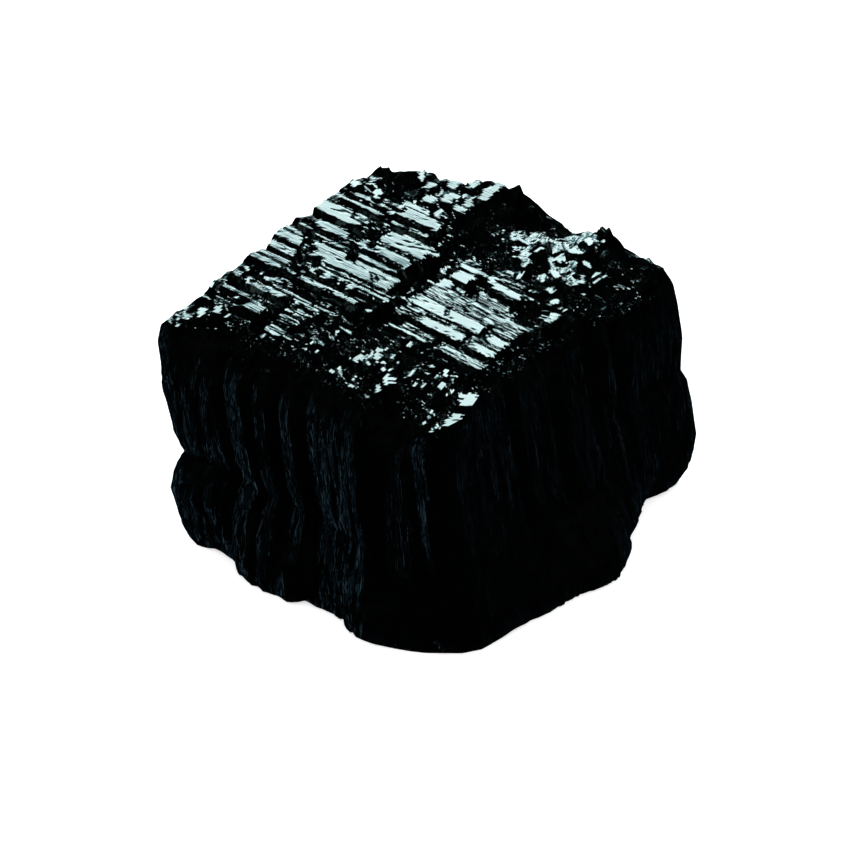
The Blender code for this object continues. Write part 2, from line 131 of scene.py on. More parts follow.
# The ledges that cross the top, from south to north: a place across the grain, then the rise from TOP_LEVEL.
# The western ledges give way to the eastern ones at BLOCKS_MEET_X.
BLOCKS_MEET_X = -4.4
BLOCKS_MEET_WIDTH = 1.6
WEST_LEDGES = [
    (-18.0, -1.0), (-14.6, -0.5), (-12.4, -0.1), (-11.2, 0.0), (-10.8, -0.5), (-9.6, -0.1),
    (-8.4, -0.7), (-7.0, -0.6), (-6.2, 0.0), (-5.4, -0.2), (-4.8, 0.3), (-1.4, 0.3),
    (-0.8, 0.0), (0.4, -0.1), (1.0, 0.4), (3.0, 0.2), (3.6, 0.6), (5.4, 0.5),
    (6.2, -0.2), (7.2, 0.2), (8.2, 0.6), (10.8, 0.5), (11.6, -0.2), (13.6, 0.2),
    (19.0, 0.2),
]
EAST_LEDGES = [
    (-19.0, -0.7), (-14.0, -0.5), (-9.0, -0.6), (-8.0, -0.1), (-7.0, 0.2), (-6.2, -0.1),
    (-5.4, 0.1), (-3.9, 0.2), (-3.4, -0.1), (-2.6, 0.2), (-0.8, 0.3), (0.0, 0.0),
    (1.2, 0.2), (2.4, -0.2), (3.6, 0.2), (6.2, 0.4), (7.4, -0.2), (19.0, -0.3),
]

# The dark cleft that parts the top in two, as points along it, with its width and depth.
CLEFT_PATH = [(-4.6, 7.0), (-4.2, 4.0), (-3.6, 0.4), (-2.6, -2.4), (-2.7, -5.2), (-4.2, -8.2), (-4.6, -10.5)]
CLEFT_WIDTH = 1.7
CLEFT_DEPTH = 1.0

# Where the flat of the top gives way to the worn shoulder above the east side: y, then x. The shoulder falls
# away from that line at SHOULDER_SLOPE.
EAST_BROW = [
    (-19.0, 15.4), (-12.4, 14.4), (-9.8, 12.2), (-7.8, 10.6), (-3.8, 10.1), (2.2, 10.1),
    (4.0, 11.2), (6.1, 9.3), (8.8, 8.6), (13.6, 8.6), (16.8, 9.3), (21.0, 9.8),
]
SHOULDER_SLOPE = 0.42

# Lumps and hollows of the top: x, y, half length, half width, rise.
TOP_LUMPS = [
    (-4.6, 11.4, 3.2, 5.2, -1.9), (-1.6, 16.2, 3.4, 2.6, -1.1), (-7.3, 18.4, 3.2, 1.8, 1.3),
    (-2.9, 19.4, 3.8, 2.6, 3.2), (0.2, 18.9, 2.8, 2.0, 1.1), (2.6, 18.2, 1.7, 1.8, -0.5),
    (7.5, 18.6, 2.9, 2.4, 2.4), (12.3, 18.0, 2.5, 2.8, 1.6), (-18.6, -13.8, 1.8, 1.6, -0.6),
    (-19.4, -6.8, 2.4, 1.8, -0.1), (-18.0, 14.6, 2.0, 2.2, 1.2), (-13.2, 18.6, 2.4, 1.6, 1.1),
    (2.4, 13.0, 1.9, 2.6, 0.7), (5.8, 15.6, 2.3, 3.2, 0.8), (-0.2, 11.0, 1.6, 2.6, -0.6),
    (4.0, 8.6, 2.6, 1.8, -0.5), (6.8, 10.6, 1.6, 2.4, 0.4), (7.4, 4.2, 1.5, 2.6, -1.0),
    (10.0, 3.2, 1.6, 1.6, 0.4), (-15.6, 15.4, 2.6, 2.4, -1.3), (-12.7, 15.8, 1.0, 2.2, 0.5),
    (-9.6, 15.2, 2.6, 1.0, 0.6), (-10.4, 17.1, 2.0, 0.9, -0.9), (-15.6, 18.0, 1.4, 1.2, -0.2),
    (-18.8, 11.6, 1.8, 2.0, 0.2), (-19.0, 8.2, 1.6, 1.4, 0.9), (-19.0, 2.2, 2.0, 2.2, 0.5),
    (-18.6, -2.2, 1.4, 1.2, -0.5), (-16.6, -9.0, 2.2, 2.2, -0.7), (-11.3, -11.4, 1.2, 3.6, -1.0),
    (-3.0, -12.2, 2.6, 3.4, -0.9), (1.6, -12.6, 1.7, 2.6, 0.7), (5.2, -15.6, 1.5, 2.8, 0.9),
    (3.4, -10.4, 2.0, 1.2, -0.4), (8.6, -16.2, 2.4, 2.8, -0.8), (9.0, -12.4, 1.2, 1.6, 0.4),
    (12.0, -12.6, 1.5, 1.9, 0.7), (13.6, -16.8, 1.4, 2.2, 0.7), (10.6, -9.8, 2.4, 1.0, -0.6),
]

# Lumps and hollows of the walls: x, y, z, half width, half height, how far it stands out.
WALL_LUMPS = [
    (-15.8, -17.4, 6.2, 2.2, 3.0, 0.7), (-15.4, -17.4, 9.8, 2.6, 1.0, -0.5),
    (-10.8, -17.6, 3.0, 1.4, 3.0, -0.4), (-3.0, -18.6, 4.6, 1.8, 1.6, 0.4),
    (4.6, -19.6, 2.0, 2.0, 2.4, 0.5), (8.6, -18.6, 8.6, 2.4, 3.0, 0.4),
    (10.6, -18.6, 13.2, 1.6, 1.8, 0.3), (14.8, -12.0, 9.0, 3.0, 2.2, 0.5),
    (14.8, -12.4, 3.6, 2.4, 1.8, -0.4), (15.6, 1.0, 4.6, 6.0, 3.2, 0.9),
    (15.0, 2.0, 7.8, 6.4, 1.2, -0.4), (15.2, 14.4, 4.0, 2.6, 3.2, 0.4),
    (14.8, 15.8, 12.4, 4.0, 0.9, -0.5), (14.6, 10.0, 18.6, 2.6, 4.0, 0.4),
    (7.0, 19.4, 8.0, 3.4, 3.4, 0.6), (-2.0, 19.6, 14.0, 3.4, 1.2, -0.6),
    (-8.0, 19.4, 6.0, 3.4, 3.0, 0.6), (-13.4, 18.8, 15.6, 2.6, 3.4, 0.5),
    (-18.2, 9.0, 6.0, 3.4, 3.4, 0.6), (-18.2, 2.0, 14.0, 3.4, 1.2, -0.5),
    (-19.0, -6.0, 8.4, 4.0, 1.1, -0.5), (-18.8, -9.0, 4.4, 3.2, 2.8, 0.6),
    (-19.2, -12.0, 17.0, 2.4, 4.0, 0.4),
]

# Hollows of the underside, above the flat it rests on: x, y, half length, half width, depth.
UNDER_HOLLOWS = [
    (-16.4, -11.0, 3.2, 4.4, 1.3), (-18.2, 3.0, 4.6, 5.4, 1.7), (-15.6, 16.4, 7.0, 4.6, 1.9),
    (-4.0, 19.4, 3.8, 2.6, 1.1), (7.0, 19.8, 6.6, 3.4, 1.5), (16.6, 14.4, 3.4, 3.4, 0.7),
    (16.4, -11.4, 2.6, 3.4, 0.5), (-1.6, -18.6, 2.0, 2.0, 0.5), (-13.2, -17.2, 2.4, 1.6, 0.6),
]


def smooth(value):
    """Zero below 0, one above 1, and an even rise between."""
    value = np.clip(value, 0.0, 1.0)
    return value * value * (3.0 - 2.0 * value)


def dome(distance):
    """One at the middle of a lump, falling to zero at a distance of 1."""
    return smooth(1.0 - distance)


def edge_at(edge, height):
    """The x and y of an upright edge at each height."""
    rows = np.array(edge)
    return np.stack([np.interp(height, rows[:, 0], rows[:, column]) for column in (1, 2)], axis=-1)


def standing_out(flutes, share, height):
    """How far a fluted wall stands out at each share of its length and each height."""
    rows = np.array(flutes)
    places = (rows[:, 0] - rows[0, 0]) / (rows[-1, 0] - rows[0, 0])
    levels = [np.interp(share, places, rows[:, column]) for column in range(1, 5)]
    low, waist, shoulder, top = FLUTE_HEIGHTS
    upper = np.clip((height - shoulder) / (top - shoulder), 0.0, 1.0) ** 2
    out = levels[0]
    out = out + (levels[1] - out) * smooth((height - low) / (waist - low))
    out = out + (levels[2] - out) * np.clip((height - waist) / (shoulder - waist), 0.0, 1.0)
    return out + (levels[3] - out) * upper


def wall_line(side, share, height):
    """The x and y of a wall at each share of its length and each height."""
    start, end, flutes, outward = side
    first = edge_at(start, height)
    last = edge_at(end, height)
    line = first + (last - first) * share[..., None]
    foot = FOOT_ROUND * smooth(1.0 - height / FOOT_ROUND)
    out = standing_out(flutes, share, height) - foot * np.sin(np.pi * share)
    return line + out[..., None] * np.array(outward)


SOUTH = (SOUTH_WEST_EDGE, SOUTH_EAST_EDGE, SOUTH_FLUTES, (0.0, -1.0))
EAST = (SOUTH_EAST_EDGE, NORTH_EAST_EDGE, EAST_FLUTES, (1.0, 0.0))
NORTH = (NORTH_WEST_EDGE, NORTH_EAST_EDGE, NORTH_FLUTES, (0.0, 1.0))
WEST = (SOUTH_WEST_EDGE, NORTH_WEST_EDGE, WEST_FLUTES, (-1.0, 0.0))


def distance_to_path(x, y, path):
    """The shortest distance from each point to a line of straight pieces."""
    nearest = np.full(np.shape(x), np.inf)
    for (ax, ay), (bx, by) in zip(path[:-1], path[1:]):
        dx = bx - ax
        dy = by - ay
        along = np.clip(((x - ax) * dx + (y - ay) * dy) / (dx * dx + dy * dy), 0.0, 1.0)
        nearest = np.minimum(nearest, np.hypot(x - ax - along * dx, y - ay - along * dy))
    return nearest


def lumps_at(x, y, lumps):
    """How far lumps and hollows lift each point, from their place, half length, half width and rise."""
    rise = np.zeros(np.shape(x))
    for place_x, place_y, half_x, half_y, most in lumps:
        rise = rise + most * dome(np.hypot((x - place_x) / half_x, (y - place_y) / half_y))
    return rise


def top_height(x, y):
    """The height of the top over each point: ledges, the shoulder, the cleft and the lumps."""
    across = y + GRAIN_SLOPE * x
    west = np.interp(across, *np.array(WEST_LEDGES).T)
    east = np.interp(across, *np.array(EAST_LEDGES).T)
    height = TOP_LEVEL + west + (east - west) * smooth((x - BLOCKS_MEET_X) / BLOCKS_MEET_WIDTH)
    height = height - SHOULDER_SLOPE * np.maximum(x - np.interp(y, *np.array(EAST_BROW).T), 0.0)
    height = height - CLEFT_DEPTH * dome(distance_to_path(x, y, CLEFT_PATH) / CLEFT_WIDTH)
    return height + lumps_at(x, y, TOP_LUMPS)


def under_height(x, y):
    """The height of the underside over each point: flat where it rests, and hollow round the edge."""
    return REST_LEVEL + lumps_at(x, y, UNDER_HOLLOWS)


def wall_point(side, share, rise):
    """The points of a wall, from the underside at a rise of 0 to the top at a rise of 1.

    The wall leans, so where it meets the top is found in a few rounds.
    """
    crest = np.full(np.shape(share), TOP_LEVEL)
    for _ in range(CREST_ROUNDS):
        place = wall_line(side, share, crest)
        crest = (crest + top_height(place[..., 0], place[..., 1])) / 2.0
    foot = wall_line(side, share, np.zeros(np.shape(share)))
    low = under_height(foot[..., 0], foot[..., 1])
    height = low + (crest - low) * rise
    return np.concatenate([wall_line(side, share, height), height[..., None]], axis=-1)


def block_point(u, v, rise):
    """Where each point of the block's grid goes: u runs west to east, v south to north, rise base to top."""
    east_share = u[..., None]
    north_share = v[..., None]
    south = wall_point(SOUTH, u, rise)
    north = wall_point(NORTH, u, rise)
    west = wall_point(WEST, v, rise)
    east = wall_point(EAST, v, rise)
    at_ends = (np.zeros(np.shape(u)), np.ones(np.shape(u)))
    ends = [wall_point(side, share, rise) for side in (SOUTH, NORTH) for share in at_ends]
    corners = (
        (1 - north_share) * ((1 - east_share) * ends[0] + east_share * ends[1])
        + north_share * ((1 - east_share) * ends[2] + east_share * ends[3])
    )
    across = (1 - north_share) * south + north_share * north
    along = (1 - east_share) * west + east_share * east
    return across + along - corners


def row_rise(share):
    """The rows of the walls stand closer together near the base and the top."""
    return share - ROW_CROWDING * np.sin(2.0 * np.pi * share)


def lump_out(points):
    """How far the walls' lumps and hollows push each point out."""
    out = np.zeros(len(points))
    for x, y, z, half_width, half_height, stand in WALL_LUMPS:
        flat = np.hypot(points[:, 0] - x, points[:, 1] - y) / half_width
        out += stand * dome(np.hypot(flat, (points[:, 2] - z) / half_height))
    return out


def crystal_points(cube):
    """The crystal's points for the points of a cube that runs from 0 to 1."""
    u, v, w = cube.T
    points = block_point(u, v, row_rise(w))
    on_wall = (w > 0) & (w < 1)
    inside = (u > 0) & (u < 1) & (v > 0) & (v < 1)
    top = inside & (w == 1)
    under = inside & (w == 0)
    points[top, 2] = top_height(points[top, 0], points[top, 1])
    points[under, 2] = under_height(points[under, 0], points[under, 1])
    from_axis = points[:, :2] / np.linalg.norm(points[:, :2], axis=1, keepdims=True).clip(1e-6)
    points[:, :2] += from_axis * (lump_out(points) * on_wall)[:, None]
    return points


# The plates of the west block: west end, east end, south edge, north edge, rise and how ribbed. South and
# north are read across the grain, as y + WEST_GRAIN * x.
WEST_GRAIN = 0.10
WEST_PLATES = [
    (-20.2, -13.8, 4.2, 6.0, 0.2, 0.2), (-15.6, -13.0, 5.2, 6.0, 0.1, 0.3),
    (-18.1, -13.5, 1.8, 2.9, 0.2, 0.3), (-19.6, -16.8, 0.9, 1.2, 0.0, 0.5),
    (-12.3, -11.0, 1.4, 3.0, 0.1, 0.2), (-11.2, -4.2, 3.3, 5.7, 0.3, 0.2),
    (-10.5, -5.4, 1.4, 3.0, 0.2, 0.3), (-14.8, -12.0, 0.2, 0.8, 0.1, 0.3),
    (-11.0, -5.8, 0.2, 0.8, 0.1, 0.4), (-15.4, -11.1, -1.1, -0.2, 0.1, 0.4),
    (-10.8, -4.4, -1.0, -0.4, 0.1, 0.3), (-20.2, -17.2, -0.9, 0.0, 0.2, 0.3),
    (-20.2, -15.8, -2.1, -0.9, 0.1, 0.3), (-19.4, -15.2, -4.0, -2.9, 0.1, 0.5),
    (-15.0, -4.3, -2.8, -1.2, 0.3, 0.3), (-12.8, -3.6, -3.5, -3.1, 0.2, 0.5),
    (-14.2, -3.3, -4.9, -3.7, 0.3, 0.3), (-19.4, -15.0, -5.4, -4.8, 0.0, 0.5),
    (-19.4, -15.2, -6.5, -5.7, 0.2, 0.3), (-13.6, -12.6, -5.7, -5.0, 0.2, 0.3),
    (-11.6, -11.0, -5.5, -4.9, 0.2, 0.3), (-10.0, -9.0, -5.3, -4.9, 0.2, 0.3),
    (-8.6, -7.7, -5.6, -5.0, 0.1, 0.3), (-13.4, -5.2, -6.5, -5.8, 0.2, 0.4),
    (-7.2, -3.2, -5.5, -5.2, 0.1, 0.4), (-13.3, -12.5, -8.2, -7.5, 0.1, 0.3),
    (-9.4, -8.0, -7.7, -7.2, 0.1, 0.4), (-7.5, -7.0, -8.1, -7.9, 0.1, 0.3),
    (-14.3, -5.7, -9.2, -8.8, 0.1, 0.3), (-13.8, -11.6, -10.3, -9.5, 0.1, 0.4),
    (-10.9, -6.9, -10.3, -9.4, 0.2, 0.4), (-9.8, -7.2, -11.0, -10.5, 0.1, 0.5),
    (-9.6, -7.5, -11.6, -11.2, 0.1, 0.5), (-18.0, -11.8, -12.2, -11.7, 0.2, 0.3),
    (-14.3, -11.6, -13.6, -12.4, 0.2, 0.5), (-10.4, -7.4, -12.8, -12.0, 0.2, 0.6),
    (-10.2, -8.0, -13.6, -13.1, 0.1, 0.7), (-10.2, -7.7, -15.2, -14.0, 0.0, 0.9),
    (-18.8, -14.2, 8.4, 9.0, 0.0, 0.4), (-20.2, -12.2, 7.3, 7.8, 0.0, 0.4),
    (-13.7, -12.0, 8.0, 8.8, 0.1, 0.3), (-13.4, -9.6, 9.6, 11.1, 0.2, 0.3),
    (-12.5, -7.1, 8.6, 10.1, 0.3, 0.3), (-12.3, -10.4, 7.0, 7.5, 0.1, 0.3),
    (-10.1, -7.3, 7.1, 7.7, 0.1, 0.3), (-13.7, -12.2, 13.8, 15.5, 0.2, 0.3),
    (-12.8, -10.8, 12.4, 13.5, 0.2, 0.3), (-11.0, -8.7, 13.5, 15.3, 0.3, 0.3),
    (-9.1, -7.0, 13.0, 14.0, 0.3, 0.3), (-8.7, -7.2, 14.2, 16.2, 0.2, 0.5),
    (-8.4, -6.7, 16.3, 20.2, 0.3, 0.3), (-10.4, -9.0, 17.0, 19.4, 0.1, 0.4),
    (-12.5, -10.5, 16.0, 17.4, 0.1, 0.4),
]

# The plates of the east block, read the same way with EAST_GRAIN. The first is the ribbed floor of the block.
EAST_GRAIN = 0.13
EAST_PLATES = [
    (-2.2, 10.1, -5.4, 1.5, 0.1, 1.0), (-0.4, 10.2, -6.9, -5.2, 0.0, 1.0),
    (-4.2, -1.9, -0.3, 0.2, 0.1, 0.6), (-2.3, 0.2, 5.9, 6.8, 0.2, 0.2),
    (-2.3, 0.8, 4.8, 5.8, 0.2, 0.2), (-1.8, 1.5, 3.1, 4.7, 0.3, 0.2),
    (-3.2, -2.0, 3.1, 4.6, 0.1, 0.2), (-4.0, -2.6, 1.8, 2.8, 0.1, 0.2),
    (-2.2, 0.0, 1.2, 2.6, 0.2, 0.3), (1.5, 3.2, 4.8, 6.1, 0.2, 0.1),
    (2.6, 6.4, 3.8, 5.4, 0.3, 0.2), (2.4, 5.7, 5.9, 6.8, 0.1, 0.9),
    (8.5, 9.7, 5.5, 7.1, 0.3, 0.2), (9.2, 11.2, 3.3, 5.2, 0.2, 0.4),
    (1.6, 6.7, 1.8, 3.4, 0.2, 0.8), (-1.7, 6.8, -2.6, -1.1, 0.2, 0.2),
    (6.9, 10.1, -1.1, -0.1, 0.1, 0.9), (7.6, 10.0, -2.8, -1.8, 0.2, 0.3),
    (0.6, 6.1, -4.8, -3.6, 0.2, 0.1), (6.9, 10.3, -4.9, -3.9, 0.2, 0.2),
    (-1.2, 3.8, -7.0, -6.6, 0.0, 0.3), (4.8, 10.6, -7.1, -5.9, 0.1, 0.8),
    (5.8, 7.4, -8.0, -7.8, 0.0, 0.4),
]

# Dark gaps that part the plates: from x, y to x, y, with a width and a depth. Their sides fall away over
# GAP_FALL.
GAP_FALL = 0.25
GAPS = [
    (-16.2, 0.8, -14.6, -3.0, 0.5, 0.5), (-12.8, 7.2, -11.4, 4.6, 0.8, 0.5),
    (-11.8, 2.2, -10.6, -0.1, 0.5, 0.5), (-13.1, -1.9, -12.4, -3.1, 0.3, 0.4),
    (-11.2, -8.6, -11.0, -14.6, 0.7, 0.7), (1.4, 3.2, 2.5, 1.6, 0.5, 0.4),
    (7.1, -2.0, 7.4, -3.6, 0.4, 0.3), (6.2, -4.2, 6.7, -5.4, 0.3, 0.3),
    (4.2, -6.2, 4.7, -8.0, 0.4, 0.3), (-7.2, -1.0, -6.2, -2.0, 0.2, 0.2),
    (2.0, -1.6, 2.6, -2.9, 0.1, 0.2),
]

# A plate or a flake lies this much further along x and y for each millimetre that it stands above TOP_LEVEL,
# because the steps lean. Its level is found by trying LEVEL_STEPS from the highest down.
STEP_LEAN = (0.89, -1.22)
LEVEL_STEPS = np.arange(3.0, -8.0, -0.05)

# The plates: how soon their sides and ends fall away, how much each leans along and across the grain, how the
# west block slants, and the dark joint just inside each side.
PLATE_SIDE_FALL = 0.12
PLATE_END_FALL = 0.25
PLATE_LEAN_ALONG = 0.03
PLATE_LEAN_ACROSS = 0.06
WEST_SLANT = 0.10
JOINT_OFF = 0.26
JOINT_WIDTH = 0.12
JOINT_DEPTH = 0.18

# What is uneven: how much or how deep, the draw along x and along y, the size of its lumps, and its seed. The
# plates of each block add a seed of their own.
END_RAG = (0.55, 0.25, 1.0, 0.35, 0)
END_WAVE = (0.3, 1.0, 1.0, 1.4, 1)
SIDE_WAVE = (0.10, 0.3, 1.0, 0.9, 2)
RIPPLE = (0.012, 0.5, 1.0, 0.9, 3)
SIDE_RAG = (0.12, 0.4, 1.0, 0.5, 4)
PLATE_PITS = (0.06, 0.4, 1.0, 0.34, 5)
FLAKE_RAG = (0.25, 1.0, 1.0, 0.45, 31)
FLAKE_PITS = (0.25, 1.0, 0.6, 0.4, 33)
GAP_WANDER = (0.15, 1.0, 1.0, 0.6, 41)
GROOVES = (0.12, 0.10, 1.0, 0.30, 51)
PIT_START = 0.42
PIT_STEEPNESS = 6.0
GROOVE_START = 0.3
GROOVE_STEEPNESS = 4.0
WEST_SEED = 3
EAST_SEED = 13

# The flakes: how soon their edges fall away, how far they reach past their outline, how much each leans, and
# the seed of their leans.
FLAKE_FALL = 0.08
FLAKE_REACH = 0.7
FLAKE_LEAN = 0.12
FLAKE_SEED = 77.5

# Within RIM_CALM of the west and north rims the ground grows smooth and falls by up to RIM_FALL. The walls
# follow the rim from RIM_ROWS_FROM of their height up. TOP_SIZE is about what the top measures.
RIM_CALM = 1.0
RIM_FALL = 0.25
RIM_ROWS_FROM = 0.7
TOP_SIZE = (39.0, 42.0)

# Flat flakes where the top is broken: x, y, length, width, turn in degrees and rise.
FLAKES = [
    (0.8, -10.8, 1.6, 0.8, -52, 0.4), (1.7, -12.0, 2.2, 1.0, -50, 0.4),
    (2.6, -12.5, 1.7, 0.6, -56, 0.6), (3.1, -13.3, 1.2, 0.5, -70, 0.6),
    (1.5, -13.4, 1.1, 0.6, -40, 0.2), (2.6, -13.4, 0.8, 0.5, -50, 0.2),
    (3.6, -13.0, 0.8, 0.5, -60, 0.4), (4.6, -14.4, 2.0, 1.4, -52, 0.7),
    (4.7, -15.8, 2.4, 0.9, -80, 0.6), (5.8, -15.4, 2.1, 0.7, -75, 0.6),
    (5.5, -16.4, 1.1, 0.5, -70, 0.4), (4.7, -13.4, 0.6, 0.5, -60, 0.4),
    (5.3, -18.2, 2.2, 0.4, -65, 0.4), (1.7, -15.6, 1.1, 0.4, -70, 0.2),
    (2.0, -16.4, 0.9, 0.4, -60, 0.2), (1.8, -17.3, 1.1, 0.4, -70, 0.2),
    (2.3, -17.2, 0.8, 0.7, 0, 0.4), (0.4, -15.4, 1.0, 0.4, -65, 0.2),
    (-0.4, -16.3, 0.9, 0.6, -50, 0.2), (6.9, -13.7, 1.4, 0.4, -80, 0.4),
    (6.3, -10.3, 0.9, 0.7, -30, 0.2), (6.4, -11.4, 1.3, 0.4, -10, 0.2),
    (8.0, -10.4, 1.6, 0.7, -55, 0.4), (7.7, -11.4, 0.8, 0.5, -60, 0.2),
    (9.2, -10.3, 0.6, 0.4, 0, 0.2), (9.0, -12.5, 1.6, 0.9, -58, 0.6),
    (9.3, -13.6, 0.8, 0.4, -90, 0.4), (10.2, -12.9, 2.1, 0.8, -86, 0.5),
    (12.2, -12.7, 2.9, 1.5, -72, 0.7), (11.3, -12.9, 1.9, 0.5, -60, 0.6),
    (13.4, -13.7, 1.8, 0.5, -78, 0.4), (13.6, -11.6, 1.1, 0.4, -70, 0.2),
    (14.1, -12.6, 1.3, 0.4, -68, 0.2), (14.3, -13.7, 0.9, 0.4, -60, 0.2),
    (13.2, -16.8, 3.8, 1.6, -84, 0.7), (14.2, -18.2, 1.9, 0.7, -65, 0.6),
    (12.9, -17.4, 0.9, 0.6, -50, 0.4), (12.5, -18.6, 1.7, 0.6, -80, 0.4),
    (11.2, -16.8, 0.9, 0.4, -75, 0.2), (11.2, -18.2, 1.0, 0.5, -80, 0.2),
    (10.9, -19.0, 0.7, 0.6, 0, 0.2), (-4.2, -10.6, 1.3, 0.5, -60, 0.4),
    (-3.9, -11.3, 1.1, 0.5, -50, 0.2), (-4.8, -13.4, 1.1, 0.5, -85, 0.2),
    (-3.6, -14.4, 0.9, 0.4, -60, 0.2), (-5.2, -9.4, 1.1, 0.4, -65, 0.2),
    (-4.8, -7.2, 1.2, 0.4, -70, 0.2), (-2.0, -4.4, 1.6, 0.5, -62, 0.4),
    (-3.0, -0.6, 1.3, 0.5, -55, 0.2), (-3.6, -2.6, 1.3, 0.6, -50, 0.2),
    (-4.0, -5.9, 0.9, 0.6, 0, 0.2), (-16.4, -15.3, 2.2, 1.0, -62, 0.4),
    (-15.5, -13.9, 1.9, 1.1, -62, 0.4), (-17.8, -17.2, 1.9, 0.7, -60, 0.2),
    (-16.8, -17.0, 1.2, 0.4, -60, 0.2), (-11.3, -15.3, 0.7, 0.4, -50, 0.2),
    (-15.4, -11.3, 0.9, 0.6, 0, 0.2), (-16.5, -8.1, 1.6, 0.7, -64, 0.4),
    (-18.0, -6.6, 1.3, 0.7, -20, 0.2), (-16.3, -6.4, 1.2, 0.5, -62, 0.2),
    (-18.6, -10.8, 2.4, 0.5, -66, 0.2), (2.4, 12.8, 2.4, 0.9, -80, 0.4),
    (1.5, 9.8, 1.4, 0.6, -55, 0.4), (5.5, 16.3, 1.8, 0.9, -45, 0.4),
    (5.4, 14.1, 1.8, 1.1, 0, 0.4), (7.7, 12.8, 1.6, 0.8, -30, 0.4),
    (5.5, 11.8, 1.6, 0.7, 0, 0.4), (6.3, 9.6, 2.0, 0.8, -40, 0.4),
    (5.8, 8.2, 1.4, 0.6, -60, 0.2), (0.1, 15.2, 2.4, 0.9, -75, 0.4),
    (0.1, 12.9, 1.4, 0.5, -20, 0.2), (-1.3, 11.9, 1.2, 0.4, -60, 0.2),
    (-2.3, 13.4, 1.3, 0.4, -60, 0.2), (-1.4, 7.3, 1.4, 0.4, -50, 0.2),
    (-5.7, 7.6, 0.9, 0.7, 0, 0.2), (-16.2, 11.9, 2.0, 1.1, -52, 0.4),
    (-14.4, 11.1, 0.9, 0.5, -50, 0.2), (-19.2, 12.2, 1.6, 1.2, -50, 0.2),
    (-18.3, 13.8, 2.0, 0.8, -52, 0.2), (-14.9, 17.4, 2.2, 0.8, -60, 0.2),
    (-8.4, 11.9, 1.2, 0.6, 20, 0.2), (-8.6, 13.1, 0.9, 0.3, -40, 0.2),
]

# Where the broken ground of the top glitters: x, y, half length, half width and how much. A higher
# GLITTER_FADE widens the middle that glitters in full.
GLITTER = [
    (1.6, -12.2, 2.2, 2.4, 0.60), (2.4, -9.0, 3.6, 1.6, 0.40), (2.6, -14.4, 1.6, 1.2, 0.30),
    (1.0, -15.8, 2.2, 1.6, 0.42), (6.6, -12.0, 1.8, 3.4, 0.20), (7.9, -11.0, 1.8, 1.8, 0.45),
    (9.8, -11.0, 1.8, 1.2, 0.20), (5.2, -16.6, 1.4, 2.8, 0.45), (13.4, -13.0, 1.8, 2.8, 0.55),
    (12.8, -17.4, 1.8, 2.2, 0.60), (10.9, -17.2, 0.8, 2.6, 0.20), (-4.4, -11.4, 1.5, 3.6, 0.30),
    (2.4, 13.0, 2.8, 3.8, 0.85), (5.6, 15.2, 3.6, 4.2, 0.90), (6.8, 9.6, 2.6, 4.4, 0.80),
    (0.0, 14.4, 1.8, 2.8, 0.60), (3.0, 9.2, 2.6, 2.6, 0.60), (10.4, 3.4, 1.8, 2.8, 0.40),
    (9.8, 9.4, 2.0, 4.4, 0.30), (-19.4, -6.0, 1.8, 11.0, 0.60), (-17.4, -15.0, 2.8, 4.0, 0.60),
    (-18.4, 13.2, 2.6, 2.2, 0.40), (-11.0, 15.0, 4.4, 3.8, 0.35), (-8.0, 18.8, 2.4, 3.0, 0.50),
    (-3.4, -1.6, 1.5, 3.4, 0.30), (-4.0, -6.6, 1.4, 2.4, 0.30), (-14.8, -13.6, 2.8, 1.4, 0.35),
    (-9.0, -14.2, 2.4, 1.4, 0.30), (-12.6, -3.0, 9.0, 9.0, 0.42), (-12.6, 7.0, 9.0, 7.0, 0.36),
    (3.2, 0.0, 7.0, 8.0, 0.50),
]
GLITTER_FADE = 1.6

# The ground between the plates and flakes: the length, width and seed of its shards in the south, in the
# north and in the blocks, how far they turn from x, and how much the shining and the dark ones lean.
SOUTH_SHARDS = (1.3, 0.36, 1.0)
NORTH_SHARDS = (1.4, 0.8, 3.0)
BLOCK_SHARDS = (2.6, 0.42, 2.0)
NORTH_FROM = 6.0
SHARD_TURN = -80.0
SHARD_DROP = 0.3
SHINE_SPREAD = 0.20
DARK_SPREAD = 0.40
DARK_LEAN = 0.55

# The blocks of plates: west end, east end, south edge and north edge, read as for the plates.
WEST_BLOCK = (-22.0, -4.0, -14.5, 10.5)
EAST_BLOCK = (-3.2, 10.8, -7.6, 7.6)

# How broken the surface is: bare ground, what its glitter adds, and the walls. Then how ribbed the walls are.
BARE_BROKEN = 0.1
GLITTER_BROKEN = 0.45
WALL_BROKEN = 0.3
WALL_RIBBED = 0.7

# The relief of the walls: how far it is drawn out upwards, as a share of z, its size, its seed and how much.
WALL_STEPS = (0.12, 1.3, 5, 0.16)
WALL_FLUTES = (0.06, 0.6, 6, 0.12)
WALL_SWELLS = (0.5, 3.2, 7, 0.10)

